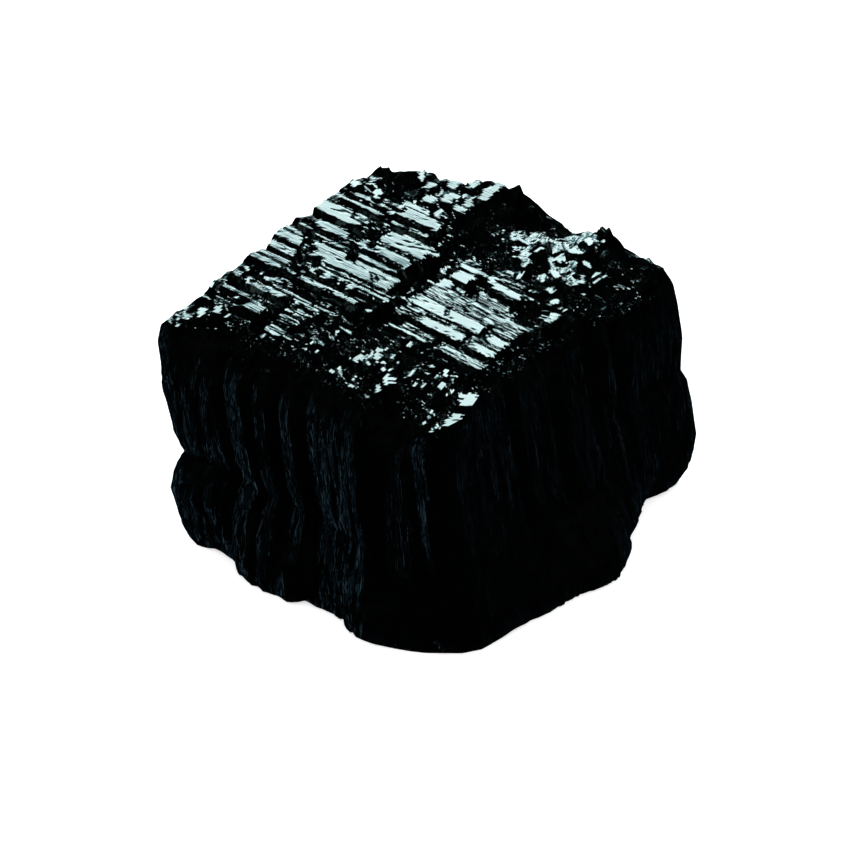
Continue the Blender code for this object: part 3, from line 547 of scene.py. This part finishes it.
# Narrow upright facets of the south and east walls that catch the light: place and height at the top, place
# and height at the foot, and width. The place is x on the south wall and y on the east wall. All facets of a
# wall face one way, so many degrees round from the wall, and their sides fade over FACET_FALL.
SOUTH_FACETS = [
    (-18.3, 23.4, -17.8, 19.0, 0.5), (-11.8, 23.8, -11.5, 17.6, 0.5), (-11.6, 17.6, -11.4, 14.4, 0.8),
    (-11.4, 14.4, -11.2, 10.0, 0.5), (-9.0, 11.0, -9.0, 8.0, 0.6), (-7.8, 22.0, -7.6, 16.5, 0.5),
    (-6.0, 24.0, -5.4, 14.0, 0.4), (-5.3, 13.6, -4.7, 5.0, 0.4), (-1.0, 23.4, -0.6, 16.0, 0.4),
    (0.4, 23.6, 0.9, 12.0, 0.4), (1.6, 22.0, 2.2, 9.0, 0.5), (3.0, 23.0, 3.4, 8.0, 0.4),
    (4.9, 23.0, 6.3, 9.0, 0.6), (6.3, 8.6, 7.0, 5.0, 0.4), (11.8, 22.5, 12.3, 17.0, 0.5),
]
SOUTH_FACING = -19.0
EAST_FACETS = [
    (-7.5, 20.0, -5.5, 12.0, 0.4), (-6.4, 16.0, -5.9, 12.6, 0.5), (-4.2, 19.0, -4.0, 11.0, 0.3),
    (-3.0, 20.0, -2.8, 14.0, 0.3), (-2.1, 18.0, -1.9, 9.0, 0.3), (-0.9, 20.0, -0.7, 12.0, 0.3),
    (0.2, 19.0, 0.4, 9.0, 0.4), (1.4, 17.0, 1.5, 11.0, 0.3), (2.6, 20.0, 2.8, 13.0, 0.3),
    (3.6, 18.0, 3.8, 10.0, 0.4), (5.2, 22.0, 5.6, 14.0, 0.6), (7.0, 23.0, 7.2, 15.0, 0.5),
    (9.5, 9.5, 10.3, 6.0, 0.4),
]
EAST_FACING = -10.0
FACET_FALL = 0.1

# Steps between the seeds of the noises, and the scale that gives each facet and shard chances of its own.
NOISE_STEP = 17.3
FACET_STEP = 11.9
CHANCE_SCALE = 53.7

# The map of the grain: where the two grains of the top meet, and what the walls' map measures.
GRAINS_MEET_X = -3.0
SIDE_MAP = 46.0
END_MAP = 40.0
END_MAP_FROM = 60.0
WALL_MAP_DRAW = 0.7

# An edge of the mesh is sharp from this many degrees.
SHARP_ANGLE = 24.0


def noise_at(points, size, seed):
    """A smooth noise from about -0.8 to 0.8 at each point, with lumps of the given size."""
    places = (points / size + seed * NOISE_STEP).tolist()
    return np.array([noise.noise(place) for place in places])


def noise_of(kind, x, y, seed=0):
    """The noise of something uneven over the top."""
    _, draw_x, draw_y, size, own_seed = kind
    return noise_at(np.stack([draw_x * x, draw_y * y, np.zeros_like(x)], axis=-1), size, seed + own_seed)


def uneven(kind, x, y, seed=0):
    """How far something uneven strays, each way."""
    return kind[0] * noise_of(kind, x, y, seed)


def pits_of(kind, x, y, seed=0):
    """How deep the pits are."""
    return kind[0] * smooth(PIT_STEEPNESS * (noise_of(kind, x, y, seed) - PIT_START))


def facets_at(points, size, seed, spread):
    """Flat facets of about the given size, each sloping its own way by up to the spread: a height for each
    point."""
    places = points / size + seed * FACET_STEP
    offsets = np.empty_like(places)
    tilts = np.empty_like(places)
    for index, place in enumerate(places.tolist()):
        nearest = noise.voronoi(place)[1][0]
        offsets[index] = Vector(place) - nearest
        tilts[index] = noise.cell_vector(nearest * CHANCE_SCALE)
    return np.sum(offsets * (tilts * 2.0 - 1.0) * spread, axis=1) * size


def turned(x, y, turn):
    """How far each point lies along a line at the given turn in degrees, and beside it."""
    angle = np.radians(turn)
    return x * np.cos(angle) + y * np.sin(angle), y * np.cos(angle) - x * np.sin(angle)


def shard_levels(x, y, drop, turn, shards):
    """A ground of long shards at the given turn, each at its own level. Some lie nearly flat and shine. The
    rest lie lower by the drop, rise steeply to the north and stay dark."""
    length, width, seed = shards
    along, beside = turned(x, y, turn)
    middles = np.empty((len(x), 2))
    chances = np.empty((len(x), 3))
    for index, (cell_x, cell_y) in enumerate(zip((along / length).tolist(), (beside / width).tolist())):
        nearest = noise.voronoi((cell_x, cell_y, seed))[1][0]
        middles[index] = nearest[:2]
        chances[index] = noise.cell_vector(nearest * CHANCE_SCALE)
    middle_x, middle_y = turned(middles[:, 0] * length, middles[:, 1] * width, -turn)
    level = top_height(middle_x, middle_y)
    shines = chances[:, 0] < glitter_at(middle_x, middle_y, level)
    spread = np.where(shines, SHINE_SPREAD, DARK_SPREAD)
    to_east = (chances[:, 1] - 0.5) * spread
    to_north = (chances[:, 2] - 0.5) * spread + np.where(shines, 0.0, DARK_LEAN)
    level = level - np.where(shines, 0.0, drop)
    return level + to_east * (x - middle_x) + to_north * (y - middle_y)


def without_lean(x, y, level):
    """Where each point of the given level would lie if the steps didn't lean."""
    return x - STEP_LEAN[0] * (level - TOP_LEVEL), y - STEP_LEAN[1] * (level - TOP_LEVEL)


def laid_over(relief, flat, ribs, mask):
    """The relief, a height, a cover and a ribbing for each point, with something flat laid over it."""
    height, cover, ribbing = relief
    return height + (flat - height) * mask, np.maximum(cover, mask), ribbing + (ribs - ribbing) * mask


def level_at(place_x, place_y, rise):
    """The level of a plate or a flake that stands above the top by the rise, where it lies with its lean."""
    levels = TOP_LEVEL + LEVEL_STEPS
    leaned_x = place_x + STEP_LEAN[0] * LEVEL_STEPS
    leaned_y = place_y + STEP_LEAN[1] * LEVEL_STEPS
    return levels[np.argmax(top_height(leaned_x, leaned_y) + rise >= levels)]


def lay_plates(x, y, relief, plates, grain, slant, seed):
    """Lays flat plates with ragged ends and dark joints over the relief. A slant lifts them to the north."""
    rag = uneven(END_RAG, x, y, seed) + uneven(END_WAVE, x, y, seed)
    wave = uneven(SIDE_WAVE, x, y, seed)
    side_rag = uneven(SIDE_RAG, x, y, seed)
    texture = uneven(RIPPLE, x, y, seed) - pits_of(PLATE_PITS, x, y, seed)
    for index, (west, east, south, north, rise, ribs) in enumerate(plates):
        middle_x = (west + east) / 2.0
        middle = (south + north) / 2.0
        level = level_at(middle_x, middle - grain * middle_x, rise)
        along, over = without_lean(x, y, level)
        over = over + grain * along + wave
        lean = noise.cell_vector((index + 0.5, seed + 0.5, 8.5))
        to_east = (lean.x - 0.5) * PLATE_LEAN_ALONG
        to_north = (lean.y - 0.5) * PLATE_LEAN_ACROSS + slant
        flat = level + to_east * (along - middle_x) + to_north * (over - middle) + texture
        ends = (np.minimum(along - west, east - along) + rag) / PLATE_END_FALL
        sides = np.minimum(over - south, north - over) + side_rag
        mask = np.clip(np.minimum(ends, sides / PLATE_SIDE_FALL + 1.0), 0.0, 1.0)
        joint = np.clip(1.0 - np.abs(sides + JOINT_OFF) / JOINT_WIDTH, 0.0, 1.0) * np.clip(ends, 0.0, 1.0)
        relief = laid_over((relief[0] - JOINT_DEPTH * joint, *relief[1:]), flat, ribs, mask)
    return relief


def lay_flakes(x, y, relief):
    """Lays small flat flakes over the broken parts of the top, the ones that stand highest last."""
    rag = uneven(FLAKE_RAG, x, y)
    pits = pits_of(FLAKE_PITS, x, y)
    lowest_first = sorted(FLAKES, key=lambda flake: flake[5])
    for index, (place_x, place_y, length, width, turn, rise) in enumerate(lowest_first):
        level = level_at(place_x, place_y, rise)
        offset_x, offset_y = without_lean(x - place_x, y - place_y, level)
        along, beside = turned(offset_x, offset_y, turn)
        lean = noise.cell_vector((index + 0.5, FLAKE_SEED, 8.5))
        flat = level + FLAKE_LEAN * ((lean.x - 0.5) * along + (lean.y - 0.5) * beside) - pits
        inside = 0.5 - np.hypot(along / length, beside / width)
        mask = np.clip(min(length, width) * (inside + rag) / FLAKE_FALL + FLAKE_REACH, 0.0, 1.0)
        relief = laid_over(relief, flat, 0.0, mask)
    return relief


def gap_depth(x, y):
    """How deep the dark gaps between the plates cut."""
    depth = np.zeros_like(x)
    wander = uneven(GAP_WANDER, x, y)
    for start_x, start_y, end_x, end_y, width, deep in GAPS:
        away = distance_to_path(x, y, [(start_x, start_y), (end_x, end_y)]) + wander
        depth = np.maximum(depth, deep * smooth(1.0 - (away - width / 2.0) / GAP_FALL))
    return depth


def glitter_at(x, y, level):
    """How much the broken ground glitters at each point of the given level."""
    x, y = without_lean(x, y, level)
    glitter = np.zeros_like(x)
    for place_x, place_y, half_x, half_y, amount in GLITTER:
        away = np.hypot((x - place_x) / half_x, (y - place_y) / half_y)
        glitter = np.maximum(glitter, amount * smooth(GLITTER_FADE * (1.0 - away)))
    return glitter


def in_block(x, y, block, grain):
    """Whether each point lies in a block of plates."""
    west, east, south, north = block
    across = y + grain * x
    return (west < x) & (x < east) & (south < across) & (across < north)


def top_relief(x, y, calm):
    """The top in full: plates, flakes and gaps over a ground of shards. Gives the height, how broken the top
    is and how ribbed. Where calm is 0, at the rim, the ground is smooth."""
    drop = SHARD_DROP * calm
    in_blocks = in_block(x, y, WEST_BLOCK, WEST_GRAIN) | in_block(x, y, EAST_BLOCK, EAST_GRAIN)
    south = shard_levels(x, y, drop, SHARD_TURN, SOUTH_SHARDS)
    north = shard_levels(x, y, drop, SHARD_TURN, NORTH_SHARDS)
    blocks = shard_levels(x, y, drop, -np.degrees(WEST_GRAIN), BLOCK_SHARDS)
    ground = np.where(in_blocks, blocks, np.where(y > NORTH_FROM, north, south))
    rim = top_height(x, y) - RIM_FALL * (1.0 - calm)
    relief = (rim + (ground - rim) * calm, np.zeros_like(x), np.zeros_like(x))
    relief = lay_plates(x, y, relief, WEST_PLATES, WEST_GRAIN, WEST_SLANT, WEST_SEED)
    relief = lay_plates(x, y, relief, EAST_PLATES, EAST_GRAIN, 0.0, EAST_SEED)
    height, cover, ribbing = lay_flakes(x, y, relief)
    grooves = smooth(noise_of(GROOVES, x, y + EAST_GRAIN * x) * GROOVE_STEEPNESS - GROOVE_START)
    height = height - gap_depth(x, y) * calm - GROOVES[0] * grooves * smooth(2.0 * ribbing - 1.0)
    broken = BARE_BROKEN + GLITTER_BROKEN * glitter_at(x, y, top_height(x, y))
    return height, (1.0 - cover) * broken, ribbing


def open_block(bm):
    """A grid for the top, rows extruded down for the walls, and rings drawn in under the base."""
    bmesh.ops.create_grid(bm, x_segments=CELLS_X, y_segments=CELLS_Y, size=0.5)
    rim = [edge for edge in bm.edges if edge.is_boundary]
    for _ in range(WALL_ROWS):
        rim, corners = extruded(bm, rim)
        bmesh.ops.translate(bm, verts=corners, vec=(0.0, 0.0, -1.0 / WALL_ROWS))
    for ring in range(BASE_RINGS):
        rim, corners = extruded(bm, rim)
        shrink = (BASE_RINGS - ring) / (BASE_RINGS - ring + 1.0)
        bmesh.ops.scale(bm, verts=corners, vec=(shrink, shrink, 1.0))
    bmesh.ops.contextual_create(bm, geom=rim)
    bmesh.ops.recalc_face_normals(bm, faces=bm.faces[:])


def extruded(bm, rim):
    """Extrudes a rim of edges, and gives the new rim and its corners."""
    made = bmesh.ops.extrude_edge_only(bm, edges=rim)["geom"]
    corners = [item for item in made if isinstance(item, bmesh.types.BMVert)]
    ring = set(corners)
    edges = [item for item in made if isinstance(item, bmesh.types.BMEdge)]
    return [edge for edge in edges if edge.verts[0] in ring and edge.verts[1] in ring], corners


def dress_top(points, block, top, on_wall):
    """Gives the top its relief, which the last rows of the walls follow at the rim. Gives how broken and how
    ribbed each point of the crystal is."""
    to_rim = np.minimum(block[:, 0] * TOP_SIZE[0], (1.0 - block[:, 1]) * TOP_SIZE[1])
    calm = smooth(to_rim / RIM_CALM)
    height, bare, ribbing = top_relief(points[top, 0], points[top, 1], calm[top])
    cell = np.rint(block[:, :2] * (CELLS_X, CELLS_Y)).astype(int)
    moved = np.zeros((CELLS_X + 1, CELLS_Y + 1))
    moved[tuple(cell[top].T)] = height - points[top, 2]
    near_rim = smooth((block[:, 2] - RIM_ROWS_FROM) / (1.0 - RIM_ROWS_FROM)) * on_wall
    points[:, 2] += near_rim * moved[tuple(cell.T)]
    points[top, 2] = height
    broken = np.where(on_wall, WALL_BROKEN, 0.0)
    broken[top] = bare
    ribbed = np.full(len(points), WALL_RIBBED)
    ribbed[top] = ribbing
    return broken, ribbed


def wall_relief(points):
    """How far each point of the walls stands out: broken steps, fine flutes and soft swells."""
    out = np.zeros(len(points))
    for draw, size, seed, spread in (WALL_STEPS, WALL_FLUTES):
        out += facets_at(points * (1.0, 1.0, draw), size, seed, spread)
    draw, size, seed, amount = WALL_SWELLS
    return out + amount * noise_at(points * (1.0, 1.0, draw), size, seed)


def flatten_facets(points, block, side, column, facets, facing):
    """Flattens narrow upright facets of a wall so that they face one way. The column of places is 0 on the
    south wall and 1 on the east wall."""
    across = points[:, column]
    outward = 1 - column
    slope = np.tan(np.radians(facing))
    for row in np.unique(block[side, 2]):
        chosen = np.nonzero(side & (block[:, 2] == row))[0]
        chosen = chosen[np.argsort(across[chosen])]
        places = across[chosen]
        wall = points[chosen, outward]
        height = points[chosen, 2].mean()
        moved = wall.copy()
        for top_place, top_at, foot_place, foot_at, width in facets:
            share = (top_at - height) / (top_at - foot_at)
            if 0.0 <= share <= 1.0:
                middle = top_place + (foot_place - top_place) * share
                level = np.interp(middle, places, wall)
                mask = np.clip((width / 2.0 - np.abs(places - middle)) / FACET_FALL + 1.0, 0.0, 1.0)
                moved += (level + slope * (places - middle) - moved) * mask
        points[chosen, outward] = moved


def to_solid_middle(points):
    """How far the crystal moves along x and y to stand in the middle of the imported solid's box."""
    low, high = (np.array(corner) / MM for corner in solid_box)
    return ((low + high) / 2.0 - (points.min(axis=0) + points.max(axis=0)) / 2.0) * (1.0, 1.0, 0.0)


def place_points(bm, points):
    """Puts the points, in millimetres, in the mesh."""
    for vertex, point in zip(bm.verts, points):
        vertex.co = point * MM


def make_crystal():
    """The crystal in full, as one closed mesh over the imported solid."""
    bm = bmesh.new()
    open_block(bm)
    block = np.round(np.array([vertex.co[:] for vertex in bm.verts]) + (0.5, 0.5, 1.0), 6)
    top = block[:, 2] == 1.0
    on_wall = (block[:, 2] > 0.0) & (block[:, 2] < 1.0)
    points = crystal_points(block)
    broken, ribbed = dress_top(points, block, top, on_wall)
    place_points(bm, points)
    bm.normal_update()
    normals = np.array([vertex.normal[:] for vertex in bm.verts])
    points[on_wall] += normals[on_wall] * wall_relief(points[on_wall])[:, None]
    flatten_facets(points, block, on_wall & (block[:, 1] == 0.0), 0, SOUTH_FACETS, SOUTH_FACING)
    flatten_facets(points, block, on_wall & (block[:, 0] == 1.0), 1, EAST_FACETS, EAST_FACING)
    points[:, 2] = np.maximum(points[:, 2], REST_LEVEL)
    points += to_solid_middle(points)
    place_points(bm, points)
    mesh = bpy.data.meshes.new("crystal")
    bm.to_mesh(mesh)
    bm.free()
    for name, values in (("broken", broken), ("ribbed", ribbed), ("wall", (~top).astype(float))):
        mesh.attributes.new(name, "FLOAT", "POINT").data.foreach_set("value", values)
    add_grain(mesh, block)
    mesh.shade_smooth()
    mesh.set_sharp_from_angle(angle=np.radians(SHARP_ANGLE))
    return mesh


def add_grain(mesh, block):
    """A UV map in millimetres, across the grain and along it, that the striations follow."""
    corner = np.empty(len(mesh.loops), np.int32)
    mesh.loops.foreach_get("vertex_index", corner)
    sizes = np.empty(len(mesh.polygons), np.int32)
    mesh.polygons.foreach_get("loop_total", sizes)
    place = np.empty(len(mesh.vertices) * 3)
    mesh.vertices.foreach_get("co", place)
    x, y, z = (place.reshape(-1, 3)[corner] / MM).T
    across = y + np.where(x > GRAINS_MEET_X, EAST_GRAIN, WEST_GRAIN) * x
    along = x.copy()
    face = np.repeat(np.arange(len(sizes)), sizes)
    u, v, w = block[corner].T
    face_u, face_v, face_w = ((np.bincount(face, weights=value) / sizes)[face] for value in (u, v, w))
    side = (face_w < 1.0) & ((face_u == 0.0) | (face_u == 1.0))
    end = (face_w < 1.0) & ((face_v == 0.0) | (face_v == 1.0))
    across[side] = v[side] * SIDE_MAP
    across[end] = u[end] * END_MAP + END_MAP_FROM
    along[side | end] = z[side | end] * WALL_MAP_DRAW
    uv = mesh.uv_layers.new(name="grain")
    uv.data.foreach_set("uv", np.stack([across, along], axis=1).ravel())


def fill(tree, node, inputs):
    """Gives a node's sockets, by name or number, a value or another node's output."""
    for socket, value in inputs.items():
        if isinstance(value, bpy.types.NodeSocket):
            tree.links.new(value, node.inputs[socket])
        else:
            node.inputs[socket].default_value = value


def add_node(tree, kind, inputs, **settings):
    """Adds a shader node with its settings and inputs, and gives its outputs."""
    node = tree.nodes.new("ShaderNode" + kind)
    for name, value in settings.items():
        setattr(node, name, value)
    fill(tree, node, inputs)
    return node.outputs


def calc(tree, operation, *values):
    """A Math node on sockets or numbers."""
    return add_node(tree, "Math", dict(enumerate(values)), operation=operation)[0]


def vector_calc(tree, operation, *values):
    """A Vector Math node on sockets or vectors."""
    return add_node(tree, "VectorMath", dict(enumerate(values)), operation=operation)[0]


def scaled(tree, vector, scale):
    """A vector times a socket or a number."""
    return add_node(tree, "VectorMath", {0: vector, "Scale": scale}, operation="SCALE")[0]


def split(tree, vector):
    """The x, y and z of a vector."""
    return add_node(tree, "SeparateXYZ", {0: vector})


def attribute(tree, name):
    """A number that the mesh keeps for each point."""
    return add_node(tree, "Attribute", {}, attribute_name=name)["Fac"]


def cells(tree, vector, dimensions, feature):
    """Irregular cells, one to each unit of the vector."""
    inputs = {"Vector": vector, "Scale": 1.0}
    return add_node(tree, "TexVoronoi", inputs, voronoi_dimensions=dimensions, feature=feature)


def grain_noise(tree, grain, draw, detail):
    """A noise that is drawn out along the grain."""
    inputs = {"Vector": vector_calc(tree, "MULTIPLY", grain, draw), "Scale": 1.0, "Detail": detail}
    return add_node(tree, "TexNoise", inputs, noise_dimensions="2D")[0]


def open_group(name, sockets):
    """A node group that takes the sockets, by name and kind, and gives a height."""
    group = bpy.data.node_groups.new(name, "ShaderNodeTree")
    for socket, kind in sockets:
        group.interface.new_socket(socket, in_out="INPUT", socket_type="NodeSocket" + kind)
    group.interface.new_socket("Height", in_out="OUTPUT", socket_type="NodeSocketFloat")
    return group, group.nodes.new("NodeGroupInput").outputs, group.nodes.new("NodeGroupOutput")


# The finish: how the ribs wander, which patches of the grain they show in, how much of a rib its edge takes
# up, how the facets of a break are drawn out, how deep they are, and how much duller the walls are.
WANDER_DRAW = (0.5, 0.08, 1.0)
WANDER = 0.5
PATCH_DRAW = (1.2, 0.35, 1.0)
PATCH_FROM = 0.42
PATCH_FULL = 0.55
RIB_EDGE = 0.22
BREAK_DRAW = (2.2, 0.8, 0.3)
BREAK_DEPTH = 0.18
WALLS_DULLER = 0.02


def striations_group():
    """Fine ribs that run along the grain and end in points, each tilted a little its own way."""
    numbers = [(name, "Float") for name in ("Pitch", "Length", "Groove", "Tilt")]
    group, source, sink = open_group("tourmaline striations", [("Grain", "Vector")] + numbers)
    grain_across, grain_along, _ = split(group, source["Grain"])
    drift = calc(group, "MULTIPLY", grain_noise(group, source["Grain"], WANDER_DRAW, 1.0), WANDER)
    across = calc(group, "DIVIDE", calc(group, "ADD", grain_across, drift), source["Pitch"])
    along = calc(group, "DIVIDE", grain_along, source["Length"])
    place = add_node(group, "CombineXYZ", {0: across, 1: along})[0]
    to_edge = cells(group, place, "2D", "DISTANCE_TO_EDGE")["Distance"]
    rise = {"Value": to_edge, "From Max": RIB_EDGE}
    groove = add_node(group, "MapRange", rise, interpolation_type="SMOOTHSTEP")[0]
    rib = cells(group, place, "2D", "F1")
    offset = calc(group, "SUBTRACT", across, split(group, rib["Position"])[0])
    lean = calc(group, "SUBTRACT", split(group, rib["Color"])[0], 0.5)
    patches = grain_noise(group, source["Grain"], PATCH_DRAW, 2.0)
    showing = {"Value": patches, "From Min": PATCH_FROM, "From Max": PATCH_FULL}
    present = add_node(group, "MapRange", showing)[0]
    deep = calc(group, "MULTIPLY", groove, calc(group, "MULTIPLY", source["Groove"], present))
    tilted = calc(group, "MULTIPLY", calc(group, "MULTIPLY", offset, lean), source["Tilt"])
    fill(group, sink, {"Height": calc(group, "ADD", deep, tilted)})
    return group


def splinters_group():
    """Small flat facets, each tilted its own way, as on a fresh break."""
    group, source, sink = open_group("tourmaline splinters", [("Vector", "Vector"), ("Size", "Float")])
    place = scaled(group, source["Vector"], calc(group, "DIVIDE", 1.0, source["Size"]))
    facet = cells(group, place, "3D", "F1")
    offset = vector_calc(group, "SUBTRACT", place, facet["Position"])
    lean = vector_calc(group, "SUBTRACT", facet["Color"], (0.5, 0.5, 0.5))
    height = add_node(group, "VectorMath", {0: offset, 1: lean}, operation="DOT_PRODUCT")["Value"]
    fill(group, sink, {"Height": height})
    return group


def tourmaline():
    """Black tourmaline: glassy plates with fine striations, and breaks full of small facets."""
    material = bpy.data.materials.new("black tourmaline")
    material.use_nodes = True
    tree = material.node_tree
    grain = add_node(tree, "UVMap", {}, uv_map="grain")["UV"]
    in_mm = scaled(tree, add_node(tree, "TexCoord", {})["Object"], 1.0 / MM)
    broken, ribbed, wall = (attribute(tree, name) for name in ("broken", "ribbed", "wall"))
    fine = {"Grain": grain, "Pitch": 0.36, "Length": 9.0, "Groove": 0.07, "Tilt": 0.09}
    ribs = add_node(tree, "Group", fine, node_tree=striations_group())[0]
    small = {"Vector": vector_calc(tree, "MULTIPLY", in_mm, BREAK_DRAW), "Size": 0.34}
    facets = add_node(tree, "Group", small, node_tree=splinters_group())[0]
    broken_part = calc(tree, "MULTIPLY", facets, calc(tree, "MULTIPLY", broken, BREAK_DEPTH))
    ribbed_part = calc(tree, "MULTIPLY", ribs, calc(tree, "MULTIPLY", ribbed, ribbed))
    height = calc(tree, "ADD", broken_part, ribbed_part)
    cloud = add_node(tree, "TexNoise", {"Vector": in_mm, "Scale": 0.9, "Detail": 5.0})[0]
    shades = {0: cloud, 6: (0.0001, 0.0001, 0.0002, 1.0), 7: (0.0003, 0.0004, 0.0004, 1.0)}
    dulling = {"Value": cloud, "From Min": 0.3, "From Max": 0.7, "To Min": 0.04, "To Max": 0.18}
    dull = add_node(tree, "MapRange", dulling)[0]
    fill(tree, tree.nodes["Principled BSDF"], {
        "Base Color": add_node(tree, "Mix", shades, data_type="RGBA")[2],
        "Roughness": calc(tree, "ADD", dull, calc(tree, "MULTIPLY", wall, WALLS_DULLER)),
        "IOR": 1.63,
        "Specular Tint": (0.86, 1.0, 0.97, 1.0),
        "Normal": add_node(tree, "Bump", {"Height": height, "Strength": 1.0, "Distance": MM})[0],
    })
    return material


def dress():
    """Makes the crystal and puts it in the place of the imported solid."""
    crystal = bpy.data.objects.new("crystal", make_crystal())
    crystal.data.materials.append(tourmaline())
    bpy.context.scene.collection.objects.link(crystal)
    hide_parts(NODE)
    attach(crystal, "root")


# The camera: how far round from -Y towards +X, how high, how far off, the point it looks at, and how wide a
# stretch it takes in.
CAMERA_ROUND = 36.0
CAMERA_UP = 33.5
CAMERA_OFF = 320.0
CAMERA_AIM = (1.23, -4.92, 14.0)
CAMERA_SPAN = 79.0
CAMERA_NEAREST = 10.0
SENSOR_WIDTH = 36.0

# The glows low round the room: how far round from -Y towards +X, half width in degrees, and strength. They
# fade upwards from GLOW_FULL_AT to GLOW_ENDS_AT, and the rest of the room has ROOM_GLOW.
GLOWS = [(-74.0, 6.0, 0.60), (130.0, 14.0, 0.01), (164.0, 5.0, 0.13)]
GLOW_FULL_AT = -0.3
GLOW_ENDS_AT = 0.1
ROOM_GLOW = 0.001
ROOM_COLOUR = (0.34, 0.70, 1.0, 1.0)
WHITE = (1.0, 1.0, 1.0, 1.0)
FLOOR_COLOUR = (0.92, 0.92, 0.92, 1.0)
FLOOR_HALF = 2.0

# The softboxes, one in front of the other: name, how far off, reach, radiance and colour. A reach of 1 takes
# up HALF_WIDE and HALF_HIGH degrees on each side of the middle.
SOFTBOXES = [
    ("core softbox", 600.0, 0.82, 4.2, (0.98, 1.0, 0.99)),
    ("soft softbox", 620.0, 1.10, 3.0, (0.76, 1.0, 1.05)),
    ("wide softbox", 640.0, 1.50, 1.6, (0.54, 1.0, 1.08)),
]
HALF_WIDE = 13.92
HALF_HIGH = 16.5


def toward(round_deg, up_deg):
    """The direction from the crystal to a place that far round from -Y towards +X and that high."""
    around, above = np.radians(round_deg), np.radians(up_deg)
    return Vector((np.sin(around) * np.cos(above), -np.cos(around) * np.cos(above), np.sin(above)))


def place_camera():
    """The camera that looks at the crystal."""
    lens = bpy.data.cameras.new("camera")
    lens.sensor_width = SENSOR_WIDTH
    lens.lens = SENSOR_WIDTH * CAMERA_OFF / CAMERA_SPAN
    lens.clip_start = CAMERA_NEAREST * MM
    camera = bpy.data.objects.new("camera", lens)
    back = toward(CAMERA_ROUND, CAMERA_UP)
    camera.location = (Vector(CAMERA_AIM) + back * CAMERA_OFF) * MM
    camera.rotation_euler = back.to_track_quat("Z", "Y").to_euler()
    bpy.context.scene.collection.objects.link(camera)
    bpy.context.scene.camera = camera


def light_the_top():
    """Softboxes where the flat plates of the top mirror them into the camera, and nothing steeper does."""
    back = toward(CAMERA_ROUND, CAMERA_UP)
    mirrored = Vector((-back.x, -back.y, back.z))
    per_tilt = Vector((0.0, mirrored.z, -mirrored.y))
    side = (per_tilt - mirrored * per_tilt.dot(mirrored)).normalized()
    turn = Matrix((side, mirrored.cross(side), mirrored)).transposed().to_4x4()
    for name, distance, reach, radiance, colour in SOFTBOXES:
        light = bpy.data.lights.new(name, "AREA")
        light.shape = "RECTANGLE"
        light.size = 2.0 * distance * np.tan(np.radians(HALF_WIDE * reach)) * MM
        light.size_y = 2.0 * distance * np.tan(np.radians(HALF_HIGH * reach)) * MM
        light.energy = radiance * np.pi * light.size * light.size_y
        light.color = colour
        lamp = bpy.data.objects.new(name, light)
        lamp.matrix_world = Matrix.Translation(mirrored * distance * MM) @ turn
        bpy.context.scene.collection.objects.link(lamp)


def glow_toward(tree, direction, round_deg, half_width, strength):
    """A soft patch of light low on one side of the room, which the walls mirror as streaks."""
    around = calc(tree, "ARCTAN2", direction[0], calc(tree, "MULTIPLY", direction[1], -1.0))
    away = calc(tree, "ABSOLUTE", calc(tree, "SUBTRACT", around, np.radians(round_deg)))
    fading = {"Value": away, "From Max": np.radians(half_width), "To Min": strength, "To Max": 0.0}
    fade = add_node(tree, "MapRange", fading, interpolation_type="SMOOTHSTEP")[0]
    falling = {"Value": direction[2], "From Min": GLOW_ENDS_AT, "From Max": GLOW_FULL_AT}
    return calc(tree, "MULTIPLY", fade, add_node(tree, "MapRange", falling)[0])


def light_the_studio():
    """A white room for the eye and for matt things, and a dim blue one for what the crystal mirrors."""
    world = bpy.data.worlds.new("studio")
    bpy.context.scene.world = world
    world.use_nodes = True
    tree = world.node_tree
    tree.nodes.clear()
    direction = split(tree, add_node(tree, "TexCoord", {})["Generated"])
    glow = ROOM_GLOW
    for round_deg, half_width, strength in GLOWS:
        glow = calc(tree, "ADD", glow_toward(tree, direction, round_deg, half_width, strength), glow)
    rooms = {
        0: add_node(tree, "LightPath", {})["Is Glossy Ray"],
        1: add_node(tree, "Background", {"Color": WHITE, "Strength": 1.0})[0],
        2: add_node(tree, "Background", {"Color": ROOM_COLOUR, "Strength": glow})[0],
    }
    add_node(tree, "OutputWorld", {"Surface": add_node(tree, "MixShader", rooms)[0]})


def lay_floor():
    """A plain pale floor, which the crystal doesn't mirror."""
    bm = bmesh.new()
    bmesh.ops.create_grid(bm, x_segments=1, y_segments=1, size=FLOOR_HALF)
    mesh = bpy.data.meshes.new("floor")
    bm.to_mesh(mesh)
    bm.free()
    floor = bpy.data.objects.new("floor", mesh)
    material = bpy.data.materials.new("pale floor")
    material.use_nodes = True
    fill(material.node_tree, material.node_tree.nodes["Principled BSDF"], {
        "Base Color": FLOOR_COLOUR,
        "Roughness": 0.9,
        "Specular IOR Level": 0.0,
        "Emission Color": WHITE,
        "Emission Strength": 0.6,
    })
    mesh.materials.append(material)
    bpy.context.scene.collection.objects.link(floor)
    floor.visible_glossy = False


dress()
place_camera()
light_the_top()
light_the_studio()
lay_floor()
bpy.context.scene.view_settings.view_transform = "Standard"
